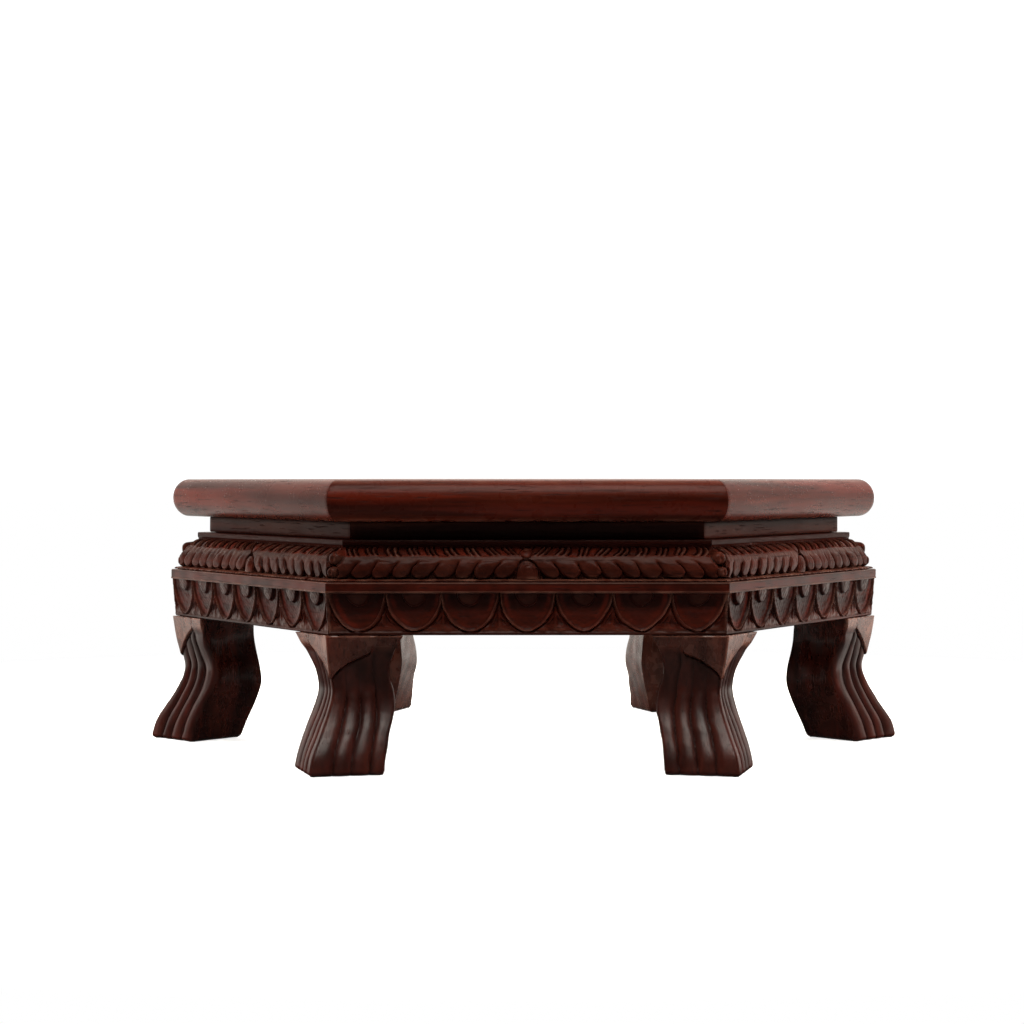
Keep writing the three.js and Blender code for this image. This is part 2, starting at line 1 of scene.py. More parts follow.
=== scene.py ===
import math
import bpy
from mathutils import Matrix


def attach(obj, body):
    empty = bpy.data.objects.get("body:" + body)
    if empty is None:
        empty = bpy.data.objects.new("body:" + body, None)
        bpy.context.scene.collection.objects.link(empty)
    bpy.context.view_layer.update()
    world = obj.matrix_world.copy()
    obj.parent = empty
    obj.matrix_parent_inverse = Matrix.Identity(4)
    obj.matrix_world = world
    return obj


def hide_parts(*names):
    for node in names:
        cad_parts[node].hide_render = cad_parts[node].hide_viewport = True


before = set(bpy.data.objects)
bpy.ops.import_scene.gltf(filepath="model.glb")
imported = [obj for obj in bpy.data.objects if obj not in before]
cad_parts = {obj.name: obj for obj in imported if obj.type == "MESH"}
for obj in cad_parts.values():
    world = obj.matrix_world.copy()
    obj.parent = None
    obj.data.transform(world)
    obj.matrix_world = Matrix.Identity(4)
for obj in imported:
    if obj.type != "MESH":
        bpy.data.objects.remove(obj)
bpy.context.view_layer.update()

from types import SimpleNamespace

import bpy
import numpy as np
from mathutils import Vector

# Low hexagonal table of dark stained hardwood. Shapes are worked out in millimetres in the CAD's frame:
# the floor is z = 0, the front side faces -Y, and reach is the distance from the table's axis to the flat
# of a side.

MM = 0.001
SIDES = ["front", "front_right", "back_right", "back", "back_left", "front_left"]
LEGS = ["front_right", "right", "back_right", "back_left", "left", "front_left"]
SIDE_TURN = math.radians(60)
FIRST_LEG_ANGLE = math.radians(-60)
TAN = math.tan(SIDE_TURN / 2)
COS = math.cos(SIDE_TURN / 2)
SEED = 11
LEG_SEED = SEED + 100

# Layers
LEG_HEIGHT = 80.2
APRON_BOTTOM = 80.5
BAND_BOTTOM = 104.8
APRON_TOP = 111
COLLAR_BOTTOM = 111.3
COLLAR_TOP = 135.2
WAIST_BOTTOM = 135.5
WAIST_TOP = 145.5
FRAME_BOTTOM = 145.8
FRAME_TOP = 170

# Reaches
TOP_REACH = 200
NOSE_DEPTH = 9.5
BAND_REACH = TOP_REACH + 1.3
RIM_REACH = BAND_REACH - 0.8
EDGE_REACH = BAND_REACH - 2.6
APRON_INNER = BAND_REACH - 16
COLLAR_REACH = BAND_REACH - 4
WAIST_REACH = TOP_REACH - 21
WAIST_INNER = WAIST_REACH - 12
LIP_REACH = WAIST_REACH + 6.8

# Joints
GLUE_GAP = 0.3
GROOVE = (WAIST_REACH - 8.8, WAIST_REACH - 3.2)
GROOVE_DEPTH = 4
TONGUE = (WAIST_REACH - 8.5, WAIST_REACH - 3.5)
TONGUE_DOWN = 3.7
TONGUE_UP = 4
TENON_CORNER = (WAIST_INNER - GLUE_GAP) / COS
TENON_HALF = 7.2
TENON_RISE = 12  # into the top frame
MORTISE_WALL = 14  # wood left inside the tenons
FRAME_INNER = (TENON_CORNER - 2 * TENON_HALF) * COS - MORTISE_WALL
PANEL_GROOVE = (157.7, 164.3)  # heights of the groove round the panel
PANEL_GROOVE_DEPTH = 7.5
HAIRLINE = 0.06  # half of the gap between two pieces at a mitre

# Meshes
PLAIN_COLUMN = 4  # spacing of the columns of a plain bar
NEAR_MITRE = (0.08, 0.2, 0.35)  # distances of the extra columns from a mitre
ARRIS_SOFTNESS = 0.35  # radius of a mitred corner
SHARP_ANGLE = math.radians(48)

# Apron
APRON_COLUMN = 0.4
APRON_ROWS = 60
EDGE_HEIGHT = 1.4
PETALS = 7
PETAL_DROP = 22.8
PETAL_SPACING = 0.7
PETAL_WIDE = (1.5, 1.75)  # range of the outline's power across, from pointed to round
PETAL_TALL = 1.95  # the outline's power downwards
RIM_CREST = 0.5
BOWL_DEPTH = 2.5
GROUND_DEPTH = 2.7
TIP_DEPTH = 2.2
BATTER = RIM_REACH - EDGE_REACH
LOBE_WIDTH = 12.6
LOBE_DROP = 7.2
FOLDS = ((1.55, 0.15), (2.15, 0.1))  # distance in lobes and height of the folds round a lobe

# Collar
COLLAR_COLUMN = 0.36
COLLAR_ROWS = 52
COLLAR_ROUND = 16
ROUND_MIDDLE = (COLLAR_REACH - COLLAR_ROUND, 116.2)
FOOT_TOP = 112.9
FOOT_REACH = COLLAR_REACH + 1.7
GARLAND_TOP = 131.6
STEM_BOTTOM = 122.9
STEM_TOP = 125.7
LEAVES = 9
LEAF_SWEEP = 7
UPPER_SWEEP = 6.5
BUD = (5.4, 5.6)  # half the width, and the height of the arch
BUD_HEIGHT = 118
BEADS = ((124.4, 4.2), (116.6, 3.2))  # height and radius at each corner

# Leg
LEG_HEAD_WIDTH = 75
LEG_HEAD_RADIUS = EDGE_REACH / COS + 0.8
LEG_SECTIONS = {
    "share": [0, 0.03, 0.15, 0.3, 0.45, 0.58, 0.71, 0.85, 1],
    "corner": [0.2, 0.208, 0.168, 0.061, -0.037, -0.085, -0.06, -0.025, 0],
    "side": [-0.205, -0.199, -0.233, -0.301, -0.386, -0.408, -0.36, -0.311, -0.305],
    "half_width": [0.418, 0.426, 0.416, 0.399, 0.387, 0.363, 0.351, 0.399, 0.5],
    "back": [-0.572, -0.588, -0.641, -0.714, -0.763, -0.753, -0.721, -0.699, -0.697],
}
CURVE_SAMPLES = 900
LEG_LEVELS = 170
FACE_POINTS = 96
INNER_POINTS = 26
KNEE_RISE = 1.1
KNEE_CORNER = 54.2  # height of the knee's lower edge at the corner
KNEE_SWEEP = {True: (15.8, 0.62), False: (19, 0.8)}  # its rise and bend on a stepped and a plain face
RIDGES = 4
FLUTE_DEPTH = 2.3
ROUNDNESS = 0.96  # of a ridge's section, 1 for a half circle
# Heights, and for a stepped and a plain face the shares of the way across where ridges meet there
RIDGE_LEVELS = [0, 6, 27, 45, 56, 80]
RIDGE_EDGES = {
    True: (
        [0.31, 0.31, 0.27, 0.22, 0.25, 0.25],
        [0.55, 0.55, 0.53, 0.44, 0.475, 0.52],
        [0.8, 0.8, 0.78, 0.69, 0.72, 0.66],
    ),
    False: (
        [0.26, 0.26, 0.23, 0.17, 0.2, 0.25],
        [0.48, 0.48, 0.45, 0.37, 0.42, 0.5],
        [0.72, 0.72, 0.69, 0.61, 0.62, 0.62],
    ),
}
FOOT_ROUND = 3
LEAN = 1.8  # how far the feet of the two front legs stand to the left of their heads
FRONT_SOFTNESS = 1.1  # of the side arrises
OTHER_SOFTNESS = 4
# The back legs' inner faces are painted paler: painted light from behind the table.
BACK_INNER_PAINTED_LIGHT = 0.35


def smoothstep(low, high, value):
    """0 at low, 1 at high and level beyond them, with a smooth change between."""
    share = np.clip((value - low) / (high - low), 0, 1)
    return share * share * (3 - 2 * share)


def bell(value, middle, width):
    """1 at the middle, falling to 0 on both sides of it."""
    return np.exp(-(((value - middle) / width) ** 2))


def wobble(u, v, size, rng, waves=7):
    """Smooth unevenness, about -1 to 1, in waves of about this size."""
    total = 0
    for _ in range(waves):
        angle, phase = rng.uniform(0, 2 * math.pi, 2)
        length = size * rng.uniform(0.6, 1.6)
        total = total + np.sin((u * math.cos(angle) + v * math.sin(angle)) * 2 * math.pi / length + phase)
    return total / math.sqrt(waves)


# Mesh code

def lofted(name, rings, masks, rising):
    """A closed mesh through rings of points in mm. Rising rings run counterclockwise seen from above."""
    count, around = rings.shape[:2]
    index = np.arange(count * around).reshape(count, around)
    a, b = index[:-1], np.roll(index, -1, axis=1)[:-1]
    c, d = np.roll(index, -1, axis=1)[1:], index[1:]
    order = (a, b, c, d) if rising else (a, d, c, b)
    quads = np.stack(order, axis=-1).reshape(-1, 4)
    caps = (index[0][::-1], index[-1]) if rising else (index[0], index[-1][::-1])

    corners = np.concatenate([quads.ravel(), *caps]).astype(np.int32)
    sizes = np.concatenate([np.full(len(quads), 4), [around, around]])
    starts = np.concatenate([[0], np.cumsum(sizes)[:-1]]).astype(np.int32)
    mesh = bpy.data.meshes.new(name)
    mesh.vertices.add(count * around)
    mesh.vertices.foreach_set("co", (rings.reshape(-1) * MM).astype(np.float32))
    mesh.loops.add(len(corners))
    mesh.loops.foreach_set("vertex_index", corners)
    mesh.polygons.add(len(sizes))
    mesh.polygons.foreach_set("loop_start", starts)
    mesh.update(calc_edges=True)
    mesh.polygons.foreach_set("use_smooth", np.ones(len(sizes), dtype=bool))
    mesh.set_sharp_from_angle(angle=SHARP_ANGLE)
    for key, values in masks.items():
        attribute = mesh.attributes.new(key, "FLOAT", "POINT")
        attribute.data.foreach_set("value", np.clip(values, 0, 1).astype(np.float32).ravel())
    piece = bpy.data.objects.new(name, mesh)
    bpy.context.collection.objects.link(piece)
    return piece


def columns(reach, spacing):
    """Shares of a side's half length from -1 to 1, closer together near the mitres."""
    half = reach * TAN
    inner = np.linspace(-1, 1, 2 * round(half / spacing) + 1)
    near = 1 - np.array(NEAR_MITRE) / half
    return np.unique(np.concatenate([inner, near, -near]))[:, None]


def mitred_bar(name, share, reach, height, masks):
    """A bar along the front side. reach and height hold one row of points round the bar for each column."""
    x = share * (reach * TAN - HAIRLINE / COS)
    return lofted(name, np.stack([x, -reach, height], axis=-1), masks, rising=False)


def soften(share, reach):
    """How far a mitred corner is rounded back at each column."""
    inside = np.clip(ARRIS_SOFTNESS - (1 - np.abs(share)) * reach * TAN, 0, ARRIS_SOFTNESS)
    return ARRIS_SOFTNESS - np.sqrt(ARRIS_SOFTNESS**2 - inside**2)


def arc(middle, radii, start, stop, steps):
    """Points of an elliptical arc in a bar's section, as (reach, height)."""
    angle = np.radians(np.linspace(start, stop, steps))
    return [(middle[0] + radii[0] * math.cos(a), middle[1] + radii[1] * math.sin(a)) for a in angle]


def plain_section(share, points):
    """The same section at every column, as (reach, height) arrays."""
    section = np.broadcast_to(np.array(points, dtype=float), (len(share), len(points), 2))
    return section[..., 0].copy(), section[..., 1].copy()


def carved_section(share, before, carved, after):
    """Joins plain points before and after the carved rows of a bar into (reach, height) arrays."""
    plain = [np.stack(plain_section(share, points), axis=-1) for points in (before, after)]
    section = np.concatenate([plain[0], carved, plain[1]], axis=1)
    return section[..., 0].copy(), section[..., 1].copy()


def spread(masks, before, after):
    """Pads each mask of the carved rows with zeros for the plain points before and after them."""
    widths = ((0, 0), (len(before), len(after)))
    return {key: np.pad(values, widths) for key, values in masks.items()}


# Top frame: a half-round edge with a flat top, grooved for the waist and for the panel

def frame_member(name, rng):
    share = columns(TOP_REACH, PLAIN_COLUMN)
    middle = (FRAME_BOTTOM + FRAME_TOP) / 2
    half = (FRAME_TOP - FRAME_BOTTOM) / 2
    section = [
        (FRAME_INNER, FRAME_BOTTOM),
        (GROOVE[0], FRAME_BOTTOM),
        (GROOVE[0], FRAME_BOTTOM + GROOVE_DEPTH),
        (GROOVE[1], FRAME_BOTTOM + GROOVE_DEPTH),
        (GROOVE[1], FRAME_BOTTOM),
        (TOP_REACH - 16, FRAME_BOTTOM),
        *arc((TOP_REACH - NOSE_DEPTH, middle), (NOSE_DEPTH, half), -90, 90, 41),
        (TOP_REACH - 15, FRAME_TOP),
        (TOP_REACH - 34, FRAME_TOP),
        (FRAME_INNER + 0.6, FRAME_TOP),
        (FRAME_INNER, FRAME_TOP - 0.6),
        (FRAME_INNER, PANEL_GROOVE[1]),
        (FRAME_INNER + PANEL_GROOVE_DEPTH, PANEL_GROOVE[1]),
        (FRAME_INNER + PANEL_GROOVE_DEPTH, PANEL_GROOVE[0]),
        (FRAME_INNER, PANEL_GROOVE[0]),
    ]
    reach, height = plain_section(share, section)
    u = share * TOP_REACH * TAN
    edge = smoothstep(TOP_REACH - NOSE_DEPTH - 4, TOP_REACH - 2, reach)
    reach -= edge * (0.06 + 0.1 * wobble(u, height, 70, rng) + soften(share, reach))
    wear_and_painted_light = 0.5 * edge * smoothstep(0.75, 1, np.abs(height - middle) / half)
    return mitred_bar(name, share, reach, height, {"wear_and_painted_light": wear_and_painted_light})


# Waist: plain boards with a tongue above and below

def waist_board(name, rng):
    share = columns(WAIST_REACH, PLAIN_COLUMN)
    face = [(WAIST_REACH, z) for z in np.linspace(WAIST_BOTTOM + 0.5, WAIST_TOP - 0.5, 7)]
    section = [
        (WAIST_INNER, WAIST_BOTTOM),
        (TONGUE[0], WAIST_BOTTOM),
        (TONGUE[0], WAIST_BOTTOM - TONGUE_DOWN),
        (TONGUE[1], WAIST_BOTTOM - TONGUE_DOWN),
        (TONGUE[1], WAIST_BOTTOM),
        (WAIST_REACH - 0.5, WAIST_BOTTOM),
        *face,
        (WAIST_REACH - 0.5, WAIST_TOP),
        (TONGUE[1], WAIST_TOP),
        (TONGUE[1], WAIST_TOP + TONGUE_UP),
        (TONGUE[0], WAIST_TOP + TONGUE_UP),
        (TONGUE[0], WAIST_TOP),
        (WAIST_INNER, WAIST_TOP),
    ]
    reach, height = plain_section(share, section)
    u = share * WAIST_REACH * TAN
    outer = smoothstep(WAIST_REACH - 2, WAIST_REACH, reach)
    reach -= outer * (0.15 + 0.15 * wobble(u, height, 45, rng) + 1.5 * soften(share, reach))
    return mitred_bar(name, share, reach, height, {})


# Apron: a plain band over a row of hollowed petals. Depths are 0 at the rims and negative behind them.

def inside_petal(x, down, half, length, wide):
    """Distance inside a petal's outline, negative outside it."""
    size = (np.abs(x) / half) ** wide + (down / length) ** PETAL_TALL + 1e-6
    slope_x = wide * np.abs(x) ** (wide - 1) / half**wide
    slope_y = PETAL_TALL * down ** (PETAL_TALL - 1) / length**PETAL_TALL
    return np.clip((1 - size) / (np.hypot(slope_x, slope_y) + 1e-6), -6, half)


def petal_bowl(inside, lobe, depth):
    """A rounded rim and a bowl. The lobe stands nearly as proud as the rim, with two folds round it."""
    beyond_rim = np.maximum(inside - RIM_CREST, 0)
    crest = -0.35 * ((inside - RIM_CREST) / RIM_CREST) ** 2
    bowl = -depth * (0.45 * smoothstep(0, 1, beyond_rim) + 0.55 * (1 - np.exp(-beyond_rim / 3.5)))
    beyond_lobe = np.maximum(lobe - 1, 0) * LOBE_DROP
    dome = -0.15 - 0.5 * np.clip(lobe, 0, 1) ** 3 - 2.4 * beyond_lobe - 0.09 * bell(lobe, 0.6, 0.12)
    surface = np.where(inside > RIM_CREST, np.maximum(bowl, dome), crest)
    for fold, height in FOLDS:
        surface += height * bell(lobe, fold, 0.12) * smoothstep(1.2, 2.6, inside)
    return surface


def petal_tips(u, drop, place, pitch, inside, rng):
    """Between two petals shows the edged and ribbed tip of one behind them, with a groove along the rims."""
    outside = np.maximum(-inside, 0)
    border = np.clip(np.round(place), 1, PETALS - 1)
    shift = rng.normal(0, 0.6, PETALS + 1)[border.astype(int)]
    rib = np.abs(u - (border - PETALS / 2) * pitch - shift)
    fullness = smoothstep(0.6, 0.95, np.maximum(drop, 0) / PETAL_DROP)
    tip = -TIP_DEPTH + 1.6 * fullness + 1.3 * bell(rib, 0, 0.9) * (1 - fullness)
    tip = np.maximum(tip, -TIP_DEPTH + 1.5 * bell(outside, 2, 0.5))
    tip = tip + 0.2 * wobble(u, drop, 8, rng)
    groove = 0.7 * smoothstep(1.3, 0.7, outside)
    behind = tip * (1 - groove) - GROUND_DEPTH * groove
    return np.maximum(behind, -0.35 - 3.2 * outside)


def petal_masks(drop, inside, lobe, behind, to_corner):
    between = inside < 0
    rim_foot = bell(inside, 1.7, 0.5)
    lobe_edge = bell(lobe, 1.13, 0.13) * (inside > 1)
    hollow = smoothstep(3.5, 6.5, inside) * smoothstep(1.2, 1.5, lobe)
    flank = smoothstep(1.2, 2.2, inside) * smoothstep(6, 3.5, inside) * smoothstep(1.1, 1.4, lobe)
    # Painted shade darkens the ground between the petals, the foot of each rim inside the bowl, the ring
    # round the lobe, the middle of the bowl and the rows by the lower edge. The rims, the lobe, the tips
    # between the petals and the corner arris are painted paler: wear on the proud parts, and painted
    # highlight.
    return {
        "painted_shade": 0.55 * between * smoothstep(-1.1, -2, behind) + 0.6 * rim_foot + 0.2 * lobe_edge
        + 0.25 * hollow + 0.6 * smoothstep(21.5, 22.3, drop),
        "wear_and_painted_light": 0.85 * bell(inside, RIM_CREST, 0.4) + 0.1 * smoothstep(1.1, 0.6, lobe)
        + 0.4 * between * smoothstep(-1.1, -0.6, behind) + 0.7 * smoothstep(1.2, 0.6, to_corner),
        "blush": 0.5 * flank,
    }


def petal_row(u, drop, rng):
    """Depth of the carving at each point, and its masks. drop is the distance below the band."""
    pitch = 2 * EDGE_REACH * TAN / PETALS
    u = u + 0.35 * wobble(u, drop, 24, rng) + 0.1 * wobble(u, drop, 7, rng)
    drop = drop + 0.3 * wobble(u, drop, 20, rng)
    place = u / pitch + PETALS / 2
    number = np.clip(np.floor(place), 0, PETALS - 1).astype(int)
    half = (pitch - PETAL_SPACING) / 2 * rng.normal(1, 0.015, PETALS)[number]
    length = PETAL_DROP * rng.uniform(0.96, 1.01, PETALS)[number]
    x = u - (number + 0.5 - PETALS / 2) * pitch - rng.normal(0, 0.2, PETALS)[number]
    wide = rng.uniform(*PETAL_WIDE, PETALS)[number]
    depth = BOWL_DEPTH * rng.normal(1, 0.08, PETALS)[number]

    down = np.maximum(drop, 0)
    inside = inside_petal(x, down, half, length, wide)
    lobe = np.hypot(x / (LOBE_WIDTH / 2), down / LOBE_DROP)
    behind = petal_tips(u, drop, place, pitch, inside, rng)
    surface = np.where(inside > 0, petal_bowl(inside, lobe, depth), behind)
    # A raised arris runs down each mitred corner
    to_corner = EDGE_REACH * TAN - np.abs(u)
    surface = np.maximum(surface, -0.1 - 1.6 * np.maximum(to_corner - 0.6, 0))
    surface += 0.1 * wobble(u, drop, 7, rng) + 0.06 * wobble(u, drop, 2.8, rng)
    return surface, petal_masks(drop, inside, lobe, behind, to_corner)


def apron(name, rng):
    share = columns(BAND_REACH, APRON_COLUMN)
    rows = np.linspace(APRON_BOTTOM + EDGE_HEIGHT, BAND_BOTTOM, APRON_ROWS)[None, :]
    surface, masks = petal_row(share * EDGE_REACH * TAN, BAND_BOTTOM - rows, rng)
    fall = (BAND_BOTTOM - rows) / (BAND_BOTTOM - APRON_BOTTOM)
    near_edge = smoothstep(0.8, 0, rows - APRON_BOTTOM - EDGE_HEIGHT)
    carved = RIM_REACH - BATTER * fall + surface * (1 - near_edge)
    carved = np.stack(np.broadcast_arrays(carved, rows), axis=-1)
    before = [
        (APRON_INNER, APRON_BOTTOM),
        (EDGE_REACH - 8, APRON_BOTTOM),
        (EDGE_REACH - 0.7, APRON_BOTTOM),
        (EDGE_REACH - 0.2, APRON_BOTTOM + 0.2),
        (EDGE_REACH, APRON_BOTTOM + 0.7),
    ]
    band_foot = [
        (BAND_REACH - 0.5, BAND_BOTTOM),
        (BAND_REACH - 0.12, BAND_BOTTOM + 0.12),
        (BAND_REACH, BAND_BOTTOM + 0.45),
        (BAND_REACH - 0.05, BAND_BOTTOM + 0.9),
    ]
    after = [
        *band_foot,
        (BAND_REACH - 0.3, BAND_BOTTOM + 1.4),
        *[(BAND_REACH - 0.2, z) for z in np.linspace(BAND_BOTTOM + 1.8, APRON_TOP - 1, 5)],
        (BAND_REACH - 0.25, APRON_TOP - 0.5),
        (BAND_REACH - 0.5, APRON_TOP - 0.15),
        (BAND_REACH - 1, APRON_TOP),
        (EDGE_REACH - 8, APRON_TOP),
        (APRON_INNER, APRON_TOP),
    ]
    reach, height = carved_section(share, before, carved, after)
    outer = smoothstep(EDGE_REACH - 5, EDGE_REACH - 3, reach)
    reach -= outer * (0.05 + 0.08 * wobble(share * 120, height, 30, rng) + soften(share, reach))
    masks = spread(masks, before, after)
    band = len(before) + APRON_ROWS
    band_face = band + len(band_foot)
    # The band's rounded lower edge and its upper edge are painted paler: rubbed wear, and painted highlight
    # where they catch the light.
    masks["wear_and_painted_light"][:, band:band_face] = 0.9
    masks["wear_and_painted_light"][:, -5:-2] = 0.5  # the band's upper edge
    masks["blush"][:, band_face:-6] = 0.4
    return mitred_bar(name, share, reach, height, masks)


# Collar: a quarter round carved with a garland of leaves that runs from a bud to both corners

def lower_leaves(u, z, pitch, sizes):
    """Leaves that sweep down from the stem towards the corner and end in a round tip."""
    start = STEM_BOTTOM + 0.6
    fall = np.clip((start - z) / (start - FOOT_TOP), 0, 1)
    place = (np.abs(u) - BUD[0] + 0.3 * pitch - LEAF_SWEEP * fall**0.55) / pitch
    number = np.floor(place)
    phase = place - number
    half_count = len(sizes) // 2
    pick = np.clip(number + 2, 0, half_count - 1).astype(int) + np.where(u > 0, half_count, 0)
    across = np.abs(2 * phase - 1)
    plump = np.sqrt(np.clip(1 - across**9, 0, 1)) * (1 - 0.1 * across**2)
    tip = 1 - smoothstep(-0.08, 0.06, fall - (0.98 - 0.34 * across**2.5))
    root = smoothstep(0.02, 0.3, fall)
    leaves = -2.4 + 2.9 * plump * sizes[pick] * tip + 0.7 * (phase - 0.5) - 0.4 * smoothstep(0.5, 0.85, fall)
    return leaves * root + (1 - root) * np.maximum(leaves, -0.1)


def upper_leaves(u, rise, pitch):
    """Pairs of thin crescents that lean towards the corner, with cuts beside them and a smooth hollow after
    each pair. Gives the surface, the crescents and the cuts."""
    stroke = (np.abs(u) - BUD[0] - UPPER_SWEEP * rise**0.75) / pitch + 0.35
    phase = stroke - np.floor(stroke)
    crescents = sum(bell((phase - middle) * pitch, 0, 0.75) for middle in (0.25, 0.53))
    cuts = sum(bell((phase - middle) * pitch, 0, 0.55) for middle in (0.12, 0.39, 0.66))
    cuts = cuts * smoothstep(0, 0.3, rise)
    surface = -0.5 + 0.9 * crescents * smoothstep(1, 0.75, rise) - 1.4 * cuts - 0.4 * rise**3
    started = smoothstep(0, 0.25, rise)
    return surface * started + 0.2 * (1 - started), crescents, cuts


def with_bud(u, z, surface):
    """Adds the arched bud on the foot, with a groove round it and two in it, and a small leaf above."""
    bud = np.hypot(u / BUD[0], np.maximum(z - BUD_HEIGHT, 0) / BUD[1])
    dome = -0.9 + 1.9 * np.sqrt(np.clip(1 - bud**2, 0, 1))
    for groove in (0.45, 0.75):
        dome = dome - 0.4 * bell(bud, groove, 0.07) * smoothstep(-3, 0, z - BUD_HEIGHT)
    surface = np.where(bud < 1.18, np.where(bud < 1, dome, -1.5), surface)
    crown = np.hypot(u / 3.2, (z - STEM_TOP - 2.4) / 3)
    return np.where(crown < 1, 0.4 - 0.8 * crown**2, np.where(crown < 1.25, -1, surface))


def garland(u, z, rng):
    """How far the carving stands out from the quarter round, and its masks."""
    half = COLLAR_REACH * TAN
    last_leaf = BEADS[1][1] / 2
    pitch = (half - BUD[0] - last_leaf) / LEAVES
    u = u + 0.7 * wobble(u, z, 24, rng) + 0.15 * wobble(u, z, 6, rng)
    z = z + 0.3 * wobble(u, z, 18, rng)
    sizes = rng.normal(1, 0.12, 2 * (LEAVES + 4))

    lower = lower_leaves(u, z, pitch, sizes)
    rise = np.clip((z - STEM_TOP) / (GARLAND_TOP - STEM_TOP), 0, 1)
    upper, crescents, cuts = upper_leaves(u, rise, pitch)
    stem = 0.15 + 0.15 * np.sin(np.pi * np.clip((z - STEM_BOTTOM) / (STEM_TOP - STEM_BOTTOM), 0, 1))
    above = smoothstep(STEM_BOTTOM - 1.4, STEM_BOTTOM + 1, z)
    high = smoothstep(STEM_TOP - 0.4, STEM_TOP + 0.6, z)
    surface = lower * (1 - above) + stem * above * (1 - high) + upper * high
    surface = with_bud(u, z, surface)
    surface = surface + 0.08 * wobble(u, z, 7, rng) + 0.03 * wobble(u, z, 2.4, rng)

    gaps = smoothstep(-0.3, -1.4, surface) * smoothstep(FOOT_TOP + 1, FOOT_TOP + 3.4, z)
    near_foot = smoothstep(FOOT_TOP + 2, FOOT_TOP + 0.8, z)
    # Painted shade darkens the gaps between the leaves and the top of the garland under the lip. The stem,
    # the crescents and the foot are painted paler: rubbed wear, and painted highlight where they catch the
    # light from above.
    masks = {
        "painted_shade": gaps + 0.6 * high * smoothstep(0.7, 1, rise),
        "wear_and_painted_light": 0.15 + 0.15 * above * (1 - high) + 0.75 * high * smoothstep(0.4, 0.9, crescents - cuts)
        + 0.7 * near_foot,
        "blush": 0.75 * high * np.clip(1 - crescents - cuts, 0, 1) + 0.15 * (1 - above),
    }
    return surface, masks


def bead(share, reach, height, middle_height, radius):
    """Lets a dimpled bead stand out at both ends of a bar, which carries half of the bead at each corner."""
    rise = (middle_height - ROUND_MIDDLE[1]) / COLLAR_ROUND
    diagonal = (ROUND_MIDDLE[0] + COLLAR_ROUND * math.sqrt(1 - rise**2)) / COS - radius
    middle_x = diagonal * TAN * COS
    middle_reach = diagonal * COS
    # Where a line from the table's axis, at each share of the side, leaves the ball
    slope = np.abs(share) * TAN
    a = 1 + slope**2
    b = slope * middle_x + middle_reach
    c = middle_x**2 + middle_reach**2 + (height - middle_height) ** 2 - radius**2
    root = b * b - a * c
    outermost = (b + np.sqrt(np.maximum(root, 0))) / a
    gap = np.sqrt(np.maximum(c + radius**2 - b * b / a, 0)) / radius
    dimple = 0.8 * bell(gap, 0, 0.3)
    ditch = 1.6 * smoothstep(1.45, 1.2, gap)
    return np.where(root > 0, outermost - dimple, reach - ditch), root > 0


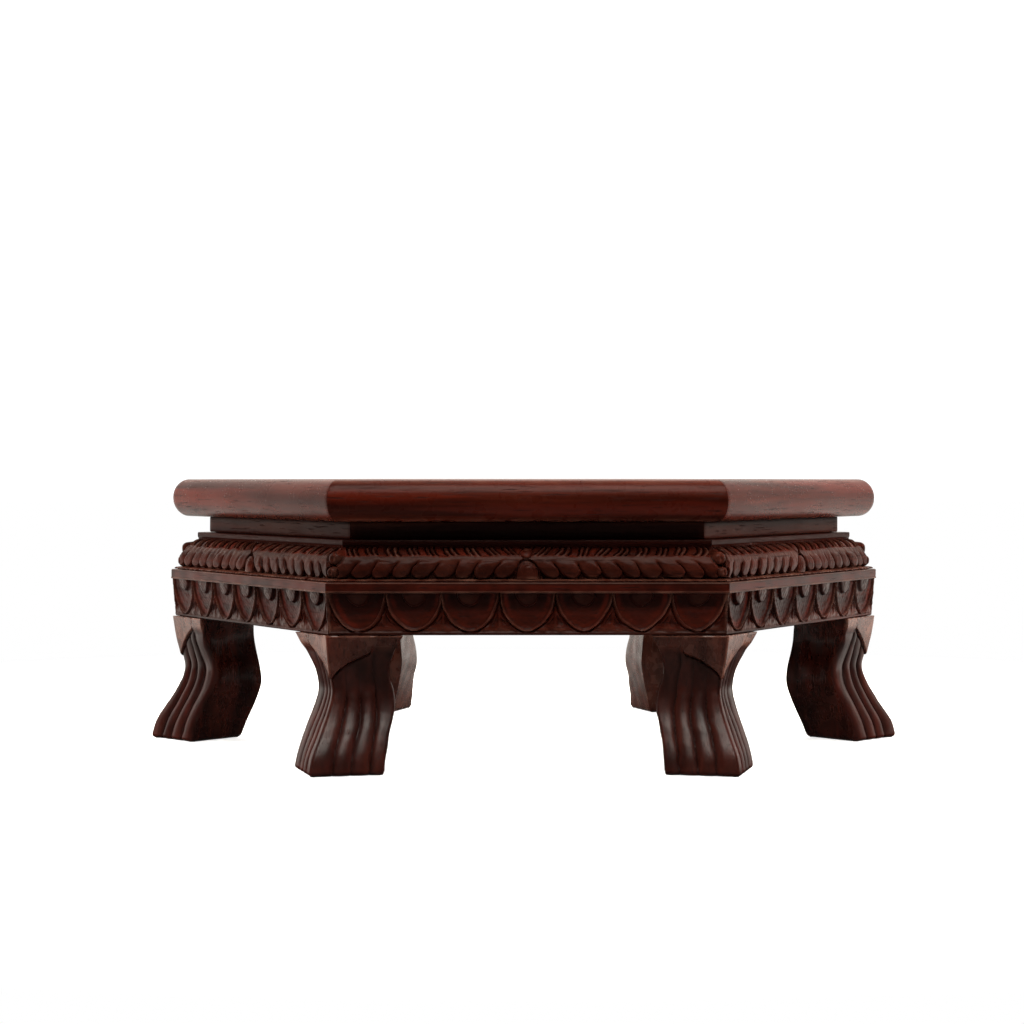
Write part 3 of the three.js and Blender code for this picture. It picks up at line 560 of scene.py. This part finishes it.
def collar(name, rng):
    share = columns(COLLAR_REACH, COLLAR_COLUMN)
    u = share * COLLAR_REACH * TAN
    straight = ROUND_MIDDLE[1] - FOOT_TOP
    turn_end = math.asin((GARLAND_TOP - ROUND_MIDDLE[1]) / COLLAR_ROUND)
    path = np.linspace(0, straight + COLLAR_ROUND * turn_end, COLLAR_ROWS)[None, :]
    turn = np.maximum(path - straight, 0) / COLLAR_ROUND
    base_reach = ROUND_MIDDLE[0] + COLLAR_ROUND * np.cos(turn)
    base_height = np.minimum(FOOT_TOP + path, ROUND_MIDDLE[1]) + COLLAR_ROUND * np.sin(turn)
    surface, masks = garland(u, base_height, rng)
    carved_reach = base_reach + surface * np.cos(turn)
    carved_height = np.maximum(base_height + surface * np.sin(turn), FOOT_TOP)
    for middle_height, radius in BEADS:
        carved_reach, on_bead = bead(share, carved_reach, carved_height, middle_height, radius)
        masks["painted_shade"] = np.where(on_bead, 0, masks["painted_shade"])
        masks["wear_and_painted_light"] = np.where(on_bead, 0.3, masks["wear_and_painted_light"])
    carved = np.stack([carved_reach, carved_height], axis=-1)
    before = [
        (WAIST_INNER, COLLAR_BOTTOM),
        (COLLAR_REACH - 10, COLLAR_BOTTOM),
        (FOOT_REACH - 0.3, COLLAR_BOTTOM),
        (FOOT_REACH, COLLAR_BOTTOM + 0.25),
        (FOOT_REACH, FOOT_TOP - 1),
        (FOOT_REACH - 0.7, FOOT_TOP - 0.5),
        (COLLAR_REACH - 1.8, FOOT_TOP),
    ]
    after = [
        (LIP_REACH - 0.3, GARLAND_TOP + 0.3),
        (LIP_REACH - 0.1, GARLAND_TOP + 0.5),
        (LIP_REACH, GARLAND_TOP + 0.8),
        (LIP_REACH, COLLAR_TOP - 0.4),
        (LIP_REACH - 0.4, COLLAR_TOP),
        (WAIST_REACH + 2, COLLAR_TOP),
        (GROOVE[1], COLLAR_TOP),
        (GROOVE[1], COLLAR_TOP - GROOVE_DEPTH),
        (GROOVE[0], COLLAR_TOP - GROOVE_DEPTH),
        (GROOVE[0], COLLAR_TOP),
        (WAIST_INNER, COLLAR_TOP),
    ]
    reach, height = carved_section(share, before, carved, after)
    # The ledge at the foot is ragged, and the lip under the waist wavers
    reach[:, 2:6] += 0.4 * wobble(u, 0, 9, rng) + 0.3 * wobble(u, 0, 4, rng)
    reach[:, -11:-6] += 0.12 * wobble(u, 0, 40, rng)
    masks = spread(masks, before, after)
    # The ledge at the foot is painted pale in ragged patches: chipped wear, and painted highlight where it
    # catches the light from above.
    masks["wear_and_painted_light"][:, 2 : len(before) + 3] = np.clip(0.8 + 0.5 * wobble(u, 0, 9, rng), 0, 1)
    # The lip under the waist is darkened: painted shade under the top's overhang.
    masks["painted_shade"][:, -9:-6] = 0.6
    return mitred_bar(name, share, reach, height, masks)


# Leg: lofted between four arrises, fluted below a smooth knee, with the post and tenon above it

def smooth_curve(values, samples):
    """Catmull-Rom curve through the values at even steps."""
    values = np.asarray(values, dtype=float)
    padded = np.concatenate([[2 * values[0] - values[1]], values, [2 * values[-1] - values[-2]]])
    position = np.linspace(0, len(values) - 1, samples)
    start = np.minimum(position.astype(int), len(values) - 2)
    t = position - start
    p0, p1, p2, p3 = (padded[start + k] for k in range(4))
    return 0.5 * (2 * p1 + (p2 - p0) * t + (2 * p0 - 5 * p1 + 4 * p2 - p3) * t**2
                  + (3 * p1 - p0 - 3 * p2 + p3) * t**3)


def leg_levels():
    """Heights of a leg's rings, closer together at the sole and at the head."""
    low = [0, 0.05, 0.2, 0.45, 0.8, 1.3]
    middle = np.linspace(1.8, LEG_HEIGHT - 0.6, LEG_LEVELS)
    return np.concatenate([low, middle, [LEG_HEIGHT - 0.3, LEG_HEIGHT]])[:, None]


def leg_outline(z, softness):
    """A leg's arrises at each height, how round they are, and how far the foot is rounded back."""
    heights = LEG_HEIGHT * smooth_curve(LEG_SECTIONS["share"], CURVE_SAMPLES)

    def at(key):
        curve = LEG_HEAD_WIDTH * smooth_curve(LEG_SECTIONS[key], CURVE_SAMPLES)
        return np.interp(z[:, 0], heights, curve)[:, None]

    corner, side, back = (LEG_HEAD_RADIUS + at(key) for key in ("corner", "side", "back"))
    half_width = at("half_width")
    corner_half = np.arctan2(half_width, corner - side)
    side_half = (np.pi - corner_half - np.arctan2(half_width, side - back)) / 2
    foot = FOOT_ROUND - np.sqrt(FOOT_ROUND**2 - np.clip(FOOT_ROUND - z, 0, FOOT_ROUND) ** 2)
    return SimpleNamespace(
        corner=corner,
        side=side,
        back=back,
        half_width=half_width,
        corner_half=corner_half,
        corner_radius=0.4 + 1.8 * smoothstep(57, 52, z),  # sharp on the knee and round below it
        side_half=side_half,
        side_radius=0.8 + softness * smoothstep(72, 60, z),
        foot=foot,
    )


def ridges(across, z, stepped):
    """Depth between the ridges from 0 to 1, the height where each fades, and whether it is the outermost."""
    levels = [np.interp(z, RIDGE_LEVELS, shares) for shares in RIDGE_EDGES[stepped]]
    edges = [np.zeros_like(z), *levels, np.ones_like(z)]
    depth = np.zeros_like(across + z)
    start = np.zeros_like(depth)
    outermost = np.zeros_like(depth)
    for k in range(RIDGES):
        phase = (across - edges[k]) / (edges[k + 1] - edges[k])
        inside = (phase >= 0) & (phase <= 1)
        x = np.clip(np.abs(2 * phase - 1), 0, 1)
        shape = (1 - np.sqrt(1 - (ROUNDNESS * x) ** 2)) / (1 - math.sqrt(1 - ROUNDNESS**2))
        if k == 0:
            shape = np.where(phase < 0.5, 0.15 * x**2, shape)
        if k == RIDGES - 1:
            shape = np.where(phase > 0.5, 0.1 * x**2, shape)
        depth = np.where(inside, shape, depth)
        start = np.where(inside, 45.5 + 2.6 * np.sqrt(1 - x**2), start)
        outermost = np.where(inside, k == RIDGES - 1, outermost)
    return depth, start, outermost


def leg_carving(across, z, stepped, rng):
    """How far the carved face stands out at each share across it, from the corner to the side arris."""
    across = across + 0.006 * wobble(across * 40, z, 18, rng)
    ridge, start, outermost = ridges(across, z, stepped)
    rise, bend = KNEE_SWEEP[stepped]
    sweep = rise * np.clip(across / 0.64, 0, 1) ** bend
    knee_edge = KNEE_CORNER + sweep + 30 * smoothstep(0.62, 0.74, across)
    on_knee = np.maximum(smoothstep(knee_edge - 0.5, knee_edge + 0.3, z), smoothstep(69, 75, z))
    incised = bell(z, knee_edge - 0.6, 0.7) * smoothstep(0.68, 0.62, across)
    flat_zone = smoothstep(start - 5, start + 3, z) * (1 - outermost) * stepped
    depth = FLUTE_DEPTH * (1 - 0.45 * smoothstep(42, 62, z)) * (1 - 0.3 * smoothstep(7, 0, z))
    depth = depth * (1 - 0.75 * flat_zone)
    surface = -ridge * depth - 1.1 * flat_zone
    surface = surface * (1 - on_knee) + KNEE_RISE * on_knee - 0.9 * incised
    surface = surface + 0.08 * wobble(across * 40, z, 30, rng) + 0.02 * wobble(across * 40, z, 7, rng)

    below_knee = 1 - on_knee
    glow = 0.8 * stepped * smoothstep(66, 76, z) * smoothstep(0.6, 0.2, across)
    # Painted shade darkens the fluted part below the knee, most in the grooves and along the incised line.
    # The knee is painted paler, four times more on a plain face than on a stepped one: painted light on the
    # faces that look to the sides, with wear.
    masks = {
        "painted_shade": (0.4 + 0.6 * smoothstep(0.3, 0.9, ridge) * (1 - 0.6 * flat_zone)) * below_knee + incised,
        "wear_and_painted_light": (1 - 0.75 * stepped) * on_knee,
        "blush": 0.35 * flat_zone * below_knee + 0.4 * smoothstep(8, 0, z) + glow,
    }
    return surface, masks


def rounded_corner(along, half_angle, radius):
    """Moves points near a sharp corner onto a round one. Gives their place along the face and their sink."""
    reach = radius / np.tan(half_angle)
    middle = (radius / np.sin(half_angle) - radius) * np.cos(half_angle)
    moved = np.sqrt(along**2 + middle**2)
    sink = radius - np.sqrt(radius**2 - np.clip(reach - moved, 0, radius) ** 2)
    return moved, sink


def carved_face(outline, z, stepped, rng):
    """The carved face from the corner to the right side arris, and its masks."""
    across = np.linspace(0, 1, FACE_POINTS + 1)[None, :]
    depth = outline.corner - outline.side
    length = np.hypot(depth, outline.half_width)
    along, corner_sink = rounded_corner(across * length, outline.corner_half, outline.corner_radius)
    to_side, side_sink = rounded_corner((1 - across) * length, outline.side_half, outline.side_radius)
    place = np.clip(along + (1 - across) * length - to_side, 0, None) / length
    surface, masks = leg_carving(across, z, stepped, rng)
    head = 0.35 * smoothstep(LEG_HEIGHT - 0.7, LEG_HEIGHT, z) * (1 + 0.8 * wobble(across * 40, 0, 9, rng))
    surface = surface - outline.foot - corner_sink - side_sink - head
    # The head's top edge is painted pale: chipped wear, and painted highlight where it catches the light
    # under the apron.
    masks["wear_and_painted_light"] = np.maximum(masks["wear_and_painted_light"], smoothstep(LEG_HEIGHT - 1.2, LEG_HEIGHT - 0.4, z))
    x = outline.corner - depth * place + outline.half_width / length * surface
    y = outline.half_width * place + depth / length * surface
    y[:, 0] = 0
    return x, y, masks


def inner_face(outline, z, rng):
    """The chiselled inner face from the right side arris to the back one."""
    inner = np.linspace(0, 1, INNER_POINTS + 1)[None, 1:]
    depth = outline.side - outline.back
    length = np.hypot(depth, outline.half_width)
    from_side, sink = rounded_corner(inner * length, outline.side_half, outline.side_radius)
    chisel = 0.15 * wobble(inner * 35, z, 14, rng) + outline.foot + sink
    place = np.minimum(from_side / length, 1)
    x = outline.side - depth * place + outline.half_width / length * chisel
    y = outline.half_width * (1 - place) - depth / length * chisel
    return x, np.maximum(y, 0) * (inner < 1)


def kite_ring(corner, side, half_width, back, height):
    """One ring of the post or the tenon, with as many points along each edge as the leg's rings."""
    edges = [((corner, 0), (side, half_width), FACE_POINTS), ((side, half_width), (back, 0), INNER_POINTS)]
    points = []
    for (x0, y0), (x1, y1), count in edges:
        for k in range(count):
            share = k / count
            points.append((x0 + (x1 - x0) * share, y0 + (y1 - y0) * share, height))
    mirrored = [(x, -y, z) for x, y, z in reversed(points[1:])]
    return np.array([*points, (back, 0, height), *mirrored])


def post_rings():
    """The post behind two aprons, and the tenon that stands on it."""
    corner = (APRON_INNER - GLUE_GAP) / COS
    back = LEG_HEAD_RADIUS + LEG_HEAD_WIDTH * LEG_SECTIONS["back"][-1]
    half = (corner - back) / (1 + TAN)
    post = (corner, corner - half * TAN, half, back)
    tenon = (TENON_CORNER, TENON_CORNER - TENON_HALF, TENON_HALF, TENON_CORNER - 2 * TENON_HALF)
    return np.array([
        kite_ring(*post, LEG_HEIGHT),
        kite_ring(*post, APRON_TOP),
        kite_ring(*tenon, APRON_TOP),
        kite_ring(*tenon, FRAME_BOTTOM + TENON_RISE),
    ])


def leg(name, steps, softness, inner_painted_light, lean, rng):
    """steps says for the right and the left face whether the ridges fade into a flat zone below the knee."""
    z = leg_levels()
    outline = leg_outline(z, softness)
    right_x, right_y, right_masks = carved_face(outline, z, steps[0], rng)
    left_x, left_y, left_masks = carved_face(outline, z, steps[1], rng)
    inner_x, inner_y = inner_face(outline, z, rng)
    x = np.concatenate([right_x, inner_x, inner_x[:, -2::-1], left_x[:, :0:-1]], axis=1)
    y = np.concatenate([right_y, inner_y, -inner_y[:, -2::-1], -left_y[:, :0:-1]], axis=1)
    tilt = 1 - z / LEG_HEIGHT
    rings = np.stack(np.broadcast_arrays(x + lean[0] * tilt, y + lean[1] * tilt, z), axis=-1)
    above = post_rings()

    blank = np.zeros((len(z), 2 * INNER_POINTS - 1))
    masks = {}
    # The inner faces are painted paler by the given share: painted light.
    for key, inner in (("painted_shade", blank), ("wear_and_painted_light", blank + inner_painted_light), ("blush", blank)):
        values = np.concatenate([right_masks[key], inner, left_masks[key][:, :0:-1]], axis=1)
        masks[key] = np.pad(values, ((0, len(above)), (0, 0)))
    return lofted(name, np.concatenate([rings, above]), masks, rising=True)


# Materials

def node(tree, kind, **settings):
    made = tree.nodes.new(kind)
    for key, value in settings.items():
        setattr(made, key, value)
    return made


def feed(tree, socket, value):
    """Links another node's output to a socket, or sets it to a plain value."""
    if isinstance(value, bpy.types.NodeSocket):
        tree.links.new(value, socket)
    else:
        socket.default_value = value


def mixed(tree, factor, first, second):
    """A mix of two colours, each a value or a socket. Returns its output."""
    mix = node(tree, "ShaderNodeMix", data_type="RGBA")
    feed(tree, mix.inputs["Factor"], factor)
    feed(tree, mix.inputs[6], first)
    feed(tree, mix.inputs[7], second)
    return mix.outputs[2]


def calc(tree, operation, *values, clamp=False):
    """A math node whose inputs are numbers or sockets. Returns its output."""
    math_node = node(tree, "ShaderNodeMath", operation=operation, use_clamp=clamp)
    for socket, value in zip(math_node.inputs, values):
        feed(tree, socket, value)
    return math_node.outputs[0]


def remapped(tree, value, low, high, to_low=0.0, to_high=1.0):
    """Maps a socket's range to another, smoothly and clamped."""
    ranger = node(tree, "ShaderNodeMapRange", interpolation_type="SMOOTHSTEP")
    tree.links.new(value, ranger.inputs["Value"])
    for key, number in (("From Min", low), ("From Max", high), ("To Min", to_low), ("To Max", to_high)):
        ranger.inputs[key].default_value = number
    return ranger.outputs["Result"]


def noise(tree, vector, scale, detail, roughness=0.55):
    texture = node(tree, "ShaderNodeTexNoise")
    tree.links.new(vector, texture.inputs["Vector"])
    texture.inputs["Scale"].default_value = scale
    texture.inputs["Detail"].default_value = detail
    texture.inputs["Roughness"].default_value = roughness
    return texture.outputs["Fac"]


def grain_vectors(tree, stretch):
    """Object coordinates that differ from piece to piece, and the same squeezed along the grain."""
    coordinates = node(tree, "ShaderNodeTexCoord")
    chance = node(tree, "ShaderNodeObjectInfo")
    offset = node(tree, "ShaderNodeVectorMath", operation="SCALE")
    offset.inputs[0].default_value = (3.1, 5.3, 7.7)
    tree.links.new(chance.outputs["Random"], offset.inputs["Scale"])
    moved = node(tree, "ShaderNodeVectorMath", operation="ADD")
    tree.links.new(coordinates.outputs["Object"], moved.inputs[0])
    tree.links.new(offset.outputs[0], moved.inputs[1])
    squeezed = node(tree, "ShaderNodeMapping")
    squeezed.inputs["Scale"].default_value = stretch
    tree.links.new(moved.outputs[0], squeezed.inputs["Vector"])
    return moved.outputs[0], squeezed.outputs["Vector"]


def mask(tree, name):
    return node(tree, "ShaderNodeAttribute", attribute_name=name).outputs["Fac"]


def wood_fields(tree, stretch):
    """The vectors, noises and mask that a wood's colour, roughness and bump share. All of a wood's noise
    scales are in waves per metre."""
    even, grain = grain_vectors(tree, stretch)
    return SimpleNamespace(
        even=even,
        grain=grain,
        streaks=noise(tree, grain, 420, 6, 0.65),
        pores=remapped(tree, noise(tree, grain, 1100, 3, 0.6), 0.58, 0.68),
        grime=remapped(tree, noise(tree, even, 90, 2), 0.35, 0.75),
        painted_shade=mask(tree, "painted_shade"),
    )


def wood_colour(tree, fields, colours, redness):
    deep, body, blush, wear_and_painted_light = colours
    patches = remapped(tree, noise(tree, fields.grain, 70, 3), 0.36, 0.66)
    colour = mixed(tree, patches, deep, body)
    colour = mixed(tree, remapped(tree, fields.streaks, 0.35, 0.7, 0, 0.7), colour, deep)

    glow = remapped(tree, noise(tree, fields.even, 45, 3), 0.35, 0.65)
    glow = calc(tree, "MULTIPLY", mask(tree, "blush"), glow)
    red = remapped(tree, noise(tree, fields.grain, 85, 3), 0.5, 0.66)
    red = calc(tree, "MULTIPLY", red, redness)
    colour = mixed(tree, calc(tree, "MAXIMUM", glow, red), colour, blush)

    # Paler where the mask says, unevenly: rubbed wear, and painted highlight.
    uneven_paling = remapped(tree, fields.grime, 0, 1, 0.35, 1)
    colour = mixed(tree, calc(tree, "MULTIPLY", mask(tree, "wear_and_painted_light"), uneven_paling), colour, wear_and_painted_light)
    # Painted shade: darker towards the deep colour where its mask says.
    colour = mixed(tree, calc(tree, "MULTIPLY", fields.painted_shade, 0.85), colour, deep)
    specks = remapped(tree, noise(tree, fields.even, 700, 4, 0.7), 0.56, 0.72, 0, 0.5)
    dark_pores = calc(tree, "MULTIPLY", fields.pores, 0.9)
    return mixed(tree, calc(tree, "MAXIMUM", specks, dark_pores), colour, deep)


def wood_roughness(tree, fields, roughness):
    rough = calc(tree, "MULTIPLY_ADD", fields.grime, 0.03, roughness)
    rough = calc(tree, "MULTIPLY_ADD", fields.painted_shade, 0.15, rough)
    return calc(tree, "MULTIPLY_ADD", fields.pores, 0.15, rough, clamp=True)


def wood_bump(tree, fields, pore_depth):
    height = calc(tree, "MULTIPLY", fields.pores, -pore_depth)
    height = calc(tree, "MULTIPLY_ADD", fields.streaks, 0.4, height)
    height = calc(tree, "MULTIPLY_ADD", noise(tree, fields.even, 150, 3), 0.2, height)
    height = calc(tree, "MULTIPLY_ADD", noise(tree, fields.even, 900, 3), 0.1, height)
    bump = node(tree, "ShaderNodeBump")
    bump.inputs["Strength"].default_value = 0.5
    bump.inputs["Distance"].default_value = 0.0002
    tree.links.new(height, bump.inputs["Height"])
    return bump.outputs["Normal"]


def stained_wood(name, colours, stretch, roughness, pore_depth, shine, redness=0.4):
    """Stained hardwood under lacquer. Colours are for dark grain and painted shade in hollows, plain wood,
    red patches, and rubbed edges with painted highlights.
    """
    material = bpy.data.materials.new(name)
    material.use_nodes = True
    tree = material.node_tree
    shader = tree.nodes["Principled BSDF"]
    fields = wood_fields(tree, stretch)
    tree.links.new(wood_colour(tree, fields, colours, redness), shader.inputs["Base Color"])
    tree.links.new(wood_roughness(tree, fields, roughness), shader.inputs["Roughness"])
    tree.links.new(wood_bump(tree, fields, pore_depth), shader.inputs["Normal"])
    shader.inputs["Specular IOR Level"].default_value = shine
    return material


def darker(colour, share):
    return (*[share * part for part in colour[:3]], 1)


# Stretch of the grain, which runs where a value is small
ALONG = (0.05, 1, 1)
UPRIGHT = (1, 1, 0.06)
DEPTHWISE = (1, 0.05, 1)

# DEEP is the dark grain and the colour that painted shade darkens towards; the last, pale colour is for
# rubbed wear and painted highlights.
DEEP = (0.012, 0.0016, 0.0008, 1)
BODY = (0.042, 0.0066, 0.0032, 1)
BLUSH = (0.085, 0.0085, 0.0035, 1)
PALE_WEAR_AND_LIGHT = (0.085, 0.034, 0.023, 1)
DRY = (0.036, 0.0085, 0.004, 1)
TOP_TONES = (DEEP, BODY, BLUSH, PALE_WEAR_AND_LIGHT)
WAIST_TONES = (DEEP, DRY, BODY, PALE_WEAR_AND_LIGHT)
# Carved pieces take the top's colours at 0.6: darker with dirt in the carving, and painted shade, as they
# sit under the top's overhang.
CARVED_DIRT_AND_SHADE = [darker(colour, 0.6) for colour in TOP_TONES]
LEG_TONES = [*(darker(colour, 0.7) for colour in (DEEP, BODY, BLUSH)), PALE_WEAR_AND_LIGHT]
BATTEN_TONES = (
    (0.02, 0.009, 0.006, 1),
    (0.06, 0.028, 0.017, 1),
    (0.07, 0.025, 0.014, 1),
    (0.09, 0.05, 0.03, 1),
)

top_wood = stained_wood("top_lacquer", TOP_TONES, ALONG, 0.27, pore_depth=0.6, shine=0.068, redness=0.34)
waist_wood = stained_wood("waist_lacquer", WAIST_TONES, ALONG, 0.55, pore_depth=2, shine=0.1)
apron_wood = stained_wood("apron_lacquer", CARVED_DIRT_AND_SHADE, ALONG, 0.3, pore_depth=0.4, shine=0.09, redness=0.25)
collar_wood = stained_wood("collar_lacquer", CARVED_DIRT_AND_SHADE, ALONG, 0.3, pore_depth=0.4, shine=0.045, redness=0.3)
leg_wood = stained_wood("leg_lacquer", LEG_TONES, UPRIGHT, 0.26, pore_depth=0.4, shine=0.3, redness=0.25)
batten_wood = stained_wood("batten_stain", BATTEN_TONES, DEPTHWISE, 0.6, pore_depth=1, shine=0.1)


# Assembly

def dress(piece, material, nodename, angle):
    piece.rotation_euler.z = angle
    piece.data.materials.append(material)
    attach(piece, "root")
    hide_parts(nodename)


for number, side in enumerate(SIDES):
    angle = number * SIDE_TURN
    rng = np.random.default_rng(SEED + number)
    dress(frame_member(f"top_member_{side}", rng), top_wood, f"top_frame_{side}", angle)
    dress(waist_board(f"waist_board_{side}", rng), waist_wood, f"waist_{side}", angle)
    dress(collar(f"collar_garland_{side}", rng), collar_wood, f"collar_{side}", angle)
    dress(apron(f"apron_petals_{side}", rng), apron_wood, f"apron_{side}", angle)

# Right and left face of each leg: only the faces that look to the front and to the back are stepped
STEPS = {
    "front_right": (False, True),
    "front_left": (True, False),
    "back_right": (True, False),
    "back_left": (False, True),
}
for number, place in enumerate(LEGS):
    rng = np.random.default_rng(LEG_SEED + number)
    angle = FIRST_LEG_ANGLE + number * SIDE_TURN
    steps = STEPS.get(place, (False, False))
    in_front = place.startswith("front")
    softness = FRONT_SOFTNESS if in_front else OTHER_SOFTNESS
    # Painted light: the back legs' inner faces are made paler, as if lit from behind.
    inner_painted_light = BACK_INNER_PAINTED_LIGHT if place.startswith("back") else 0
    # To the left, as seen in the leg's own turned axes
    lean = (-LEAN * math.cos(angle), LEAN * math.sin(angle)) if in_front else (0, 0)
    made = leg(f"cabriole_leg_{place}", steps, softness, inner_painted_light, lean, rng)
    dress(made, leg_wood, f"leg_{place}", angle)

# The panel and the battens stay the CAD's own solids
CARRIED = (("top_panel", top_wood), ("batten_left", batten_wood), ("batten_right", batten_wood))
for nodename, material in CARRIED:
    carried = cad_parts[nodename]
    carried.data.materials.clear()
    carried.data.materials.append(material)


# Studio

CAMERA_DISTANCE = 1.58
CAMERA_HEIGHT = 0.1733
CAMERA_YAW = math.radians(0.6)
FOCAL_PIXELS = 2400
IMAGE_PIXELS = 1024
HORIZON = 474.2  # row of the picture at the camera's height
AXIS_COLUMN = 523.9  # column of the picture where the table's axis stands
WARM = (1, 0.95, 0.87, 1)
WHITE = (1, 1, 1, 1)
BLACK = (0, 0, 0, 1)
GREY_PAPER = (0.5, 0.5, 0.5, 1)
PAPER_GLOW = 0.7  # lifts the floor's shadow for the camera
DIM_ROOM = 0.04


def add_camera():
    data = bpy.data.cameras.new("camera")
    data.sensor_width = 36
    data.lens = FOCAL_PIXELS / IMAGE_PIXELS * data.sensor_width
    camera = bpy.data.objects.new("camera", data)
    bpy.context.collection.objects.link(camera)
    x = -CAMERA_DISTANCE * math.sin(CAMERA_YAW)
    y = -CAMERA_DISTANCE * math.cos(CAMERA_YAW)
    camera.location = (x, y, CAMERA_HEIGHT)
    pan = math.atan((AXIS_COLUMN - IMAGE_PIXELS / 2) / FOCAL_PIXELS)
    pitch = math.atan((IMAGE_PIXELS / 2 - HORIZON) / FOCAL_PIXELS)
    camera.rotation_euler = (math.pi / 2 - pitch, 0, pan - CAMERA_YAW)
    bpy.context.scene.camera = camera


def add_panel(name, place, size, power, mirrored=False):
    """A soft rectangular lamp that faces the table. Only a mirrored one shows as a highlight in lacquer."""
    data = bpy.data.lights.new(name, "AREA")
    data.shape = "RECTANGLE"
    data.size, data.size_y = size
    data.energy = power
    data.color = WARM[:3]
    lamp = bpy.data.objects.new(name, data)
    bpy.context.collection.objects.link(lamp)
    lamp.location = place
    lamp.rotation_euler = (Vector((0, 0, 0.1)) - lamp.location).to_track_quat("-Z", "Y").to_euler()
    lamp.visible_camera = False
    lamp.visible_glossy = mirrored


def split(tree, vector):
    """The x, y and z of a vector socket."""
    parts = node(tree, "ShaderNodeSeparateXYZ")
    tree.links.new(vector, parts.inputs[0])
    return parts.outputs


def add_world():
    """White to the camera. The light comes from a white sweep round the back, with a dim room in front."""
    world = bpy.data.worlds.new("studio")
    world.use_nodes = True
    bpy.context.scene.world = world
    tree = world.node_tree
    background = tree.nodes["Background"]
    seen = node(tree, "ShaderNodeLightPath").outputs["Is Camera Ray"]
    direction = split(tree, node(tree, "ShaderNodeTexCoord").outputs["Generated"])
    level = remapped(tree, direction["Y"], 0.18, 0.5, DIM_ROOM, 1.25)
    tree.links.new(mixed(tree, seen, WARM, WHITE), background.inputs["Color"])
    tree.links.new(calc(tree, "MAXIMUM", seen, level), background.inputs["Strength"])


def floor_sheen(tree, place):
    """How bright the floor looks in the lacquer: dim in front of the table, bright behind and beside it."""
    behind = remapped(tree, place["Y"], 0.15, 0.4, DIM_ROOM, 0.9)
    right = remapped(tree, place["X"], 0.25, 0.42, 0, 1.75)
    left = remapped(tree, place["X"], -0.42, -0.25, 1.6, 0)
    beside = calc(tree, "ADD", right, left)
    beside = calc(tree, "MULTIPLY", beside, remapped(tree, place["Y"], -0.3, 0))
    return calc(tree, "MAXIMUM", behind, beside)


def glowing(tree, colour, strength):
    glow = node(tree, "ShaderNodeEmission")
    tree.links.new(colour, glow.inputs["Color"])
    tree.links.new(strength, glow.inputs["Strength"])
    return glow.outputs[0]


def blended(tree, factor, first, second):
    """A mix of two shaders. Returns its output."""
    mix = node(tree, "ShaderNodeMixShader")
    for socket, value in zip(mix.inputs, (factor, first, second)):
        tree.links.new(value, socket)
    return mix.outputs[0]


def floor_material():
    """Pale paper that keeps the table's shadow and runs into plain white away from it. Clear from below."""
    material = bpy.data.materials.new("white_floor")
    material.use_nodes = True
    tree = material.node_tree
    tree.nodes.clear()
    path = node(tree, "ShaderNodeLightPath")
    seen = path.outputs["Is Camera Ray"]
    reflected = path.outputs["Is Glossy Ray"]
    position = node(tree, "ShaderNodeTexCoord").outputs["Object"]
    distance = node(tree, "ShaderNodeVectorMath", operation="LENGTH")
    tree.links.new(position, distance.inputs[0])
    sheen = calc(tree, "MULTIPLY", reflected, floor_sheen(tree, split(tree, position)))
    tint = mixed(tree, reflected, WHITE, WARM)

    paper = node(tree, "ShaderNodeBsdfDiffuse")
    tree.links.new(mixed(tree, reflected, GREY_PAPER, BLACK), paper.inputs["Color"])
    near = node(tree, "ShaderNodeAddShader")
    tree.links.new(paper.outputs[0], near.inputs[0])
    near_glow = glowing(tree, tint, calc(tree, "MULTIPLY_ADD", seen, PAPER_GLOW, sheen))
    tree.links.new(near_glow, near.inputs[1])
    far = glowing(tree, tint, calc(tree, "ADD", seen, sheen))
    away = remapped(tree, distance.outputs["Value"], 0.35, 0.8)
    above = blended(tree, away, near.outputs[0], far)

    from_below = node(tree, "ShaderNodeNewGeometry").outputs["Backfacing"]
    clear = node(tree, "ShaderNodeBsdfTransparent").outputs[0]
    output = node(tree, "ShaderNodeOutputMaterial")
    tree.links.new(blended(tree, from_below, above, clear), output.inputs["Surface"])
    return material


def add_floor():
    mesh = bpy.data.meshes.new("floor")
    reach = 14
    corners = [(-reach, -reach, 0), (reach, -reach, 0), (reach, reach, 0), (-reach, reach, 0)]
    mesh.from_pydata(corners, [], [(0, 1, 2, 3)])
    mesh.materials.append(floor_material())
    floor = bpy.data.objects.new("floor", mesh)
    bpy.context.collection.objects.link(floor)
    floor.location.z = -0.0002


add_camera()
add_world()
add_floor()
# Name, place, size and watts
add_panel("left_panel", (-1.95, 0.05, 1.05), (1.8, 1.9), 125)
add_panel("right_panel", (1.95, 0.05, 1.05), (1.8, 1.9), 142)
add_panel("overhead", (0.05, -0.95, 1.5), (1.2, 1), 31, mirrored=True)
add_panel("ceiling", (0, -0.3, 1.7), (1, 0.8), 32)
add_panel("back_left_panel", (-1.05, 1.75, 0.75), (1.6, 1.2), 180)
add_panel("back_right_panel", (1.05, 1.75, 0.75), (1.6, 1.2), 180)
bpy.context.scene.view_settings.view_transform = "Standard"
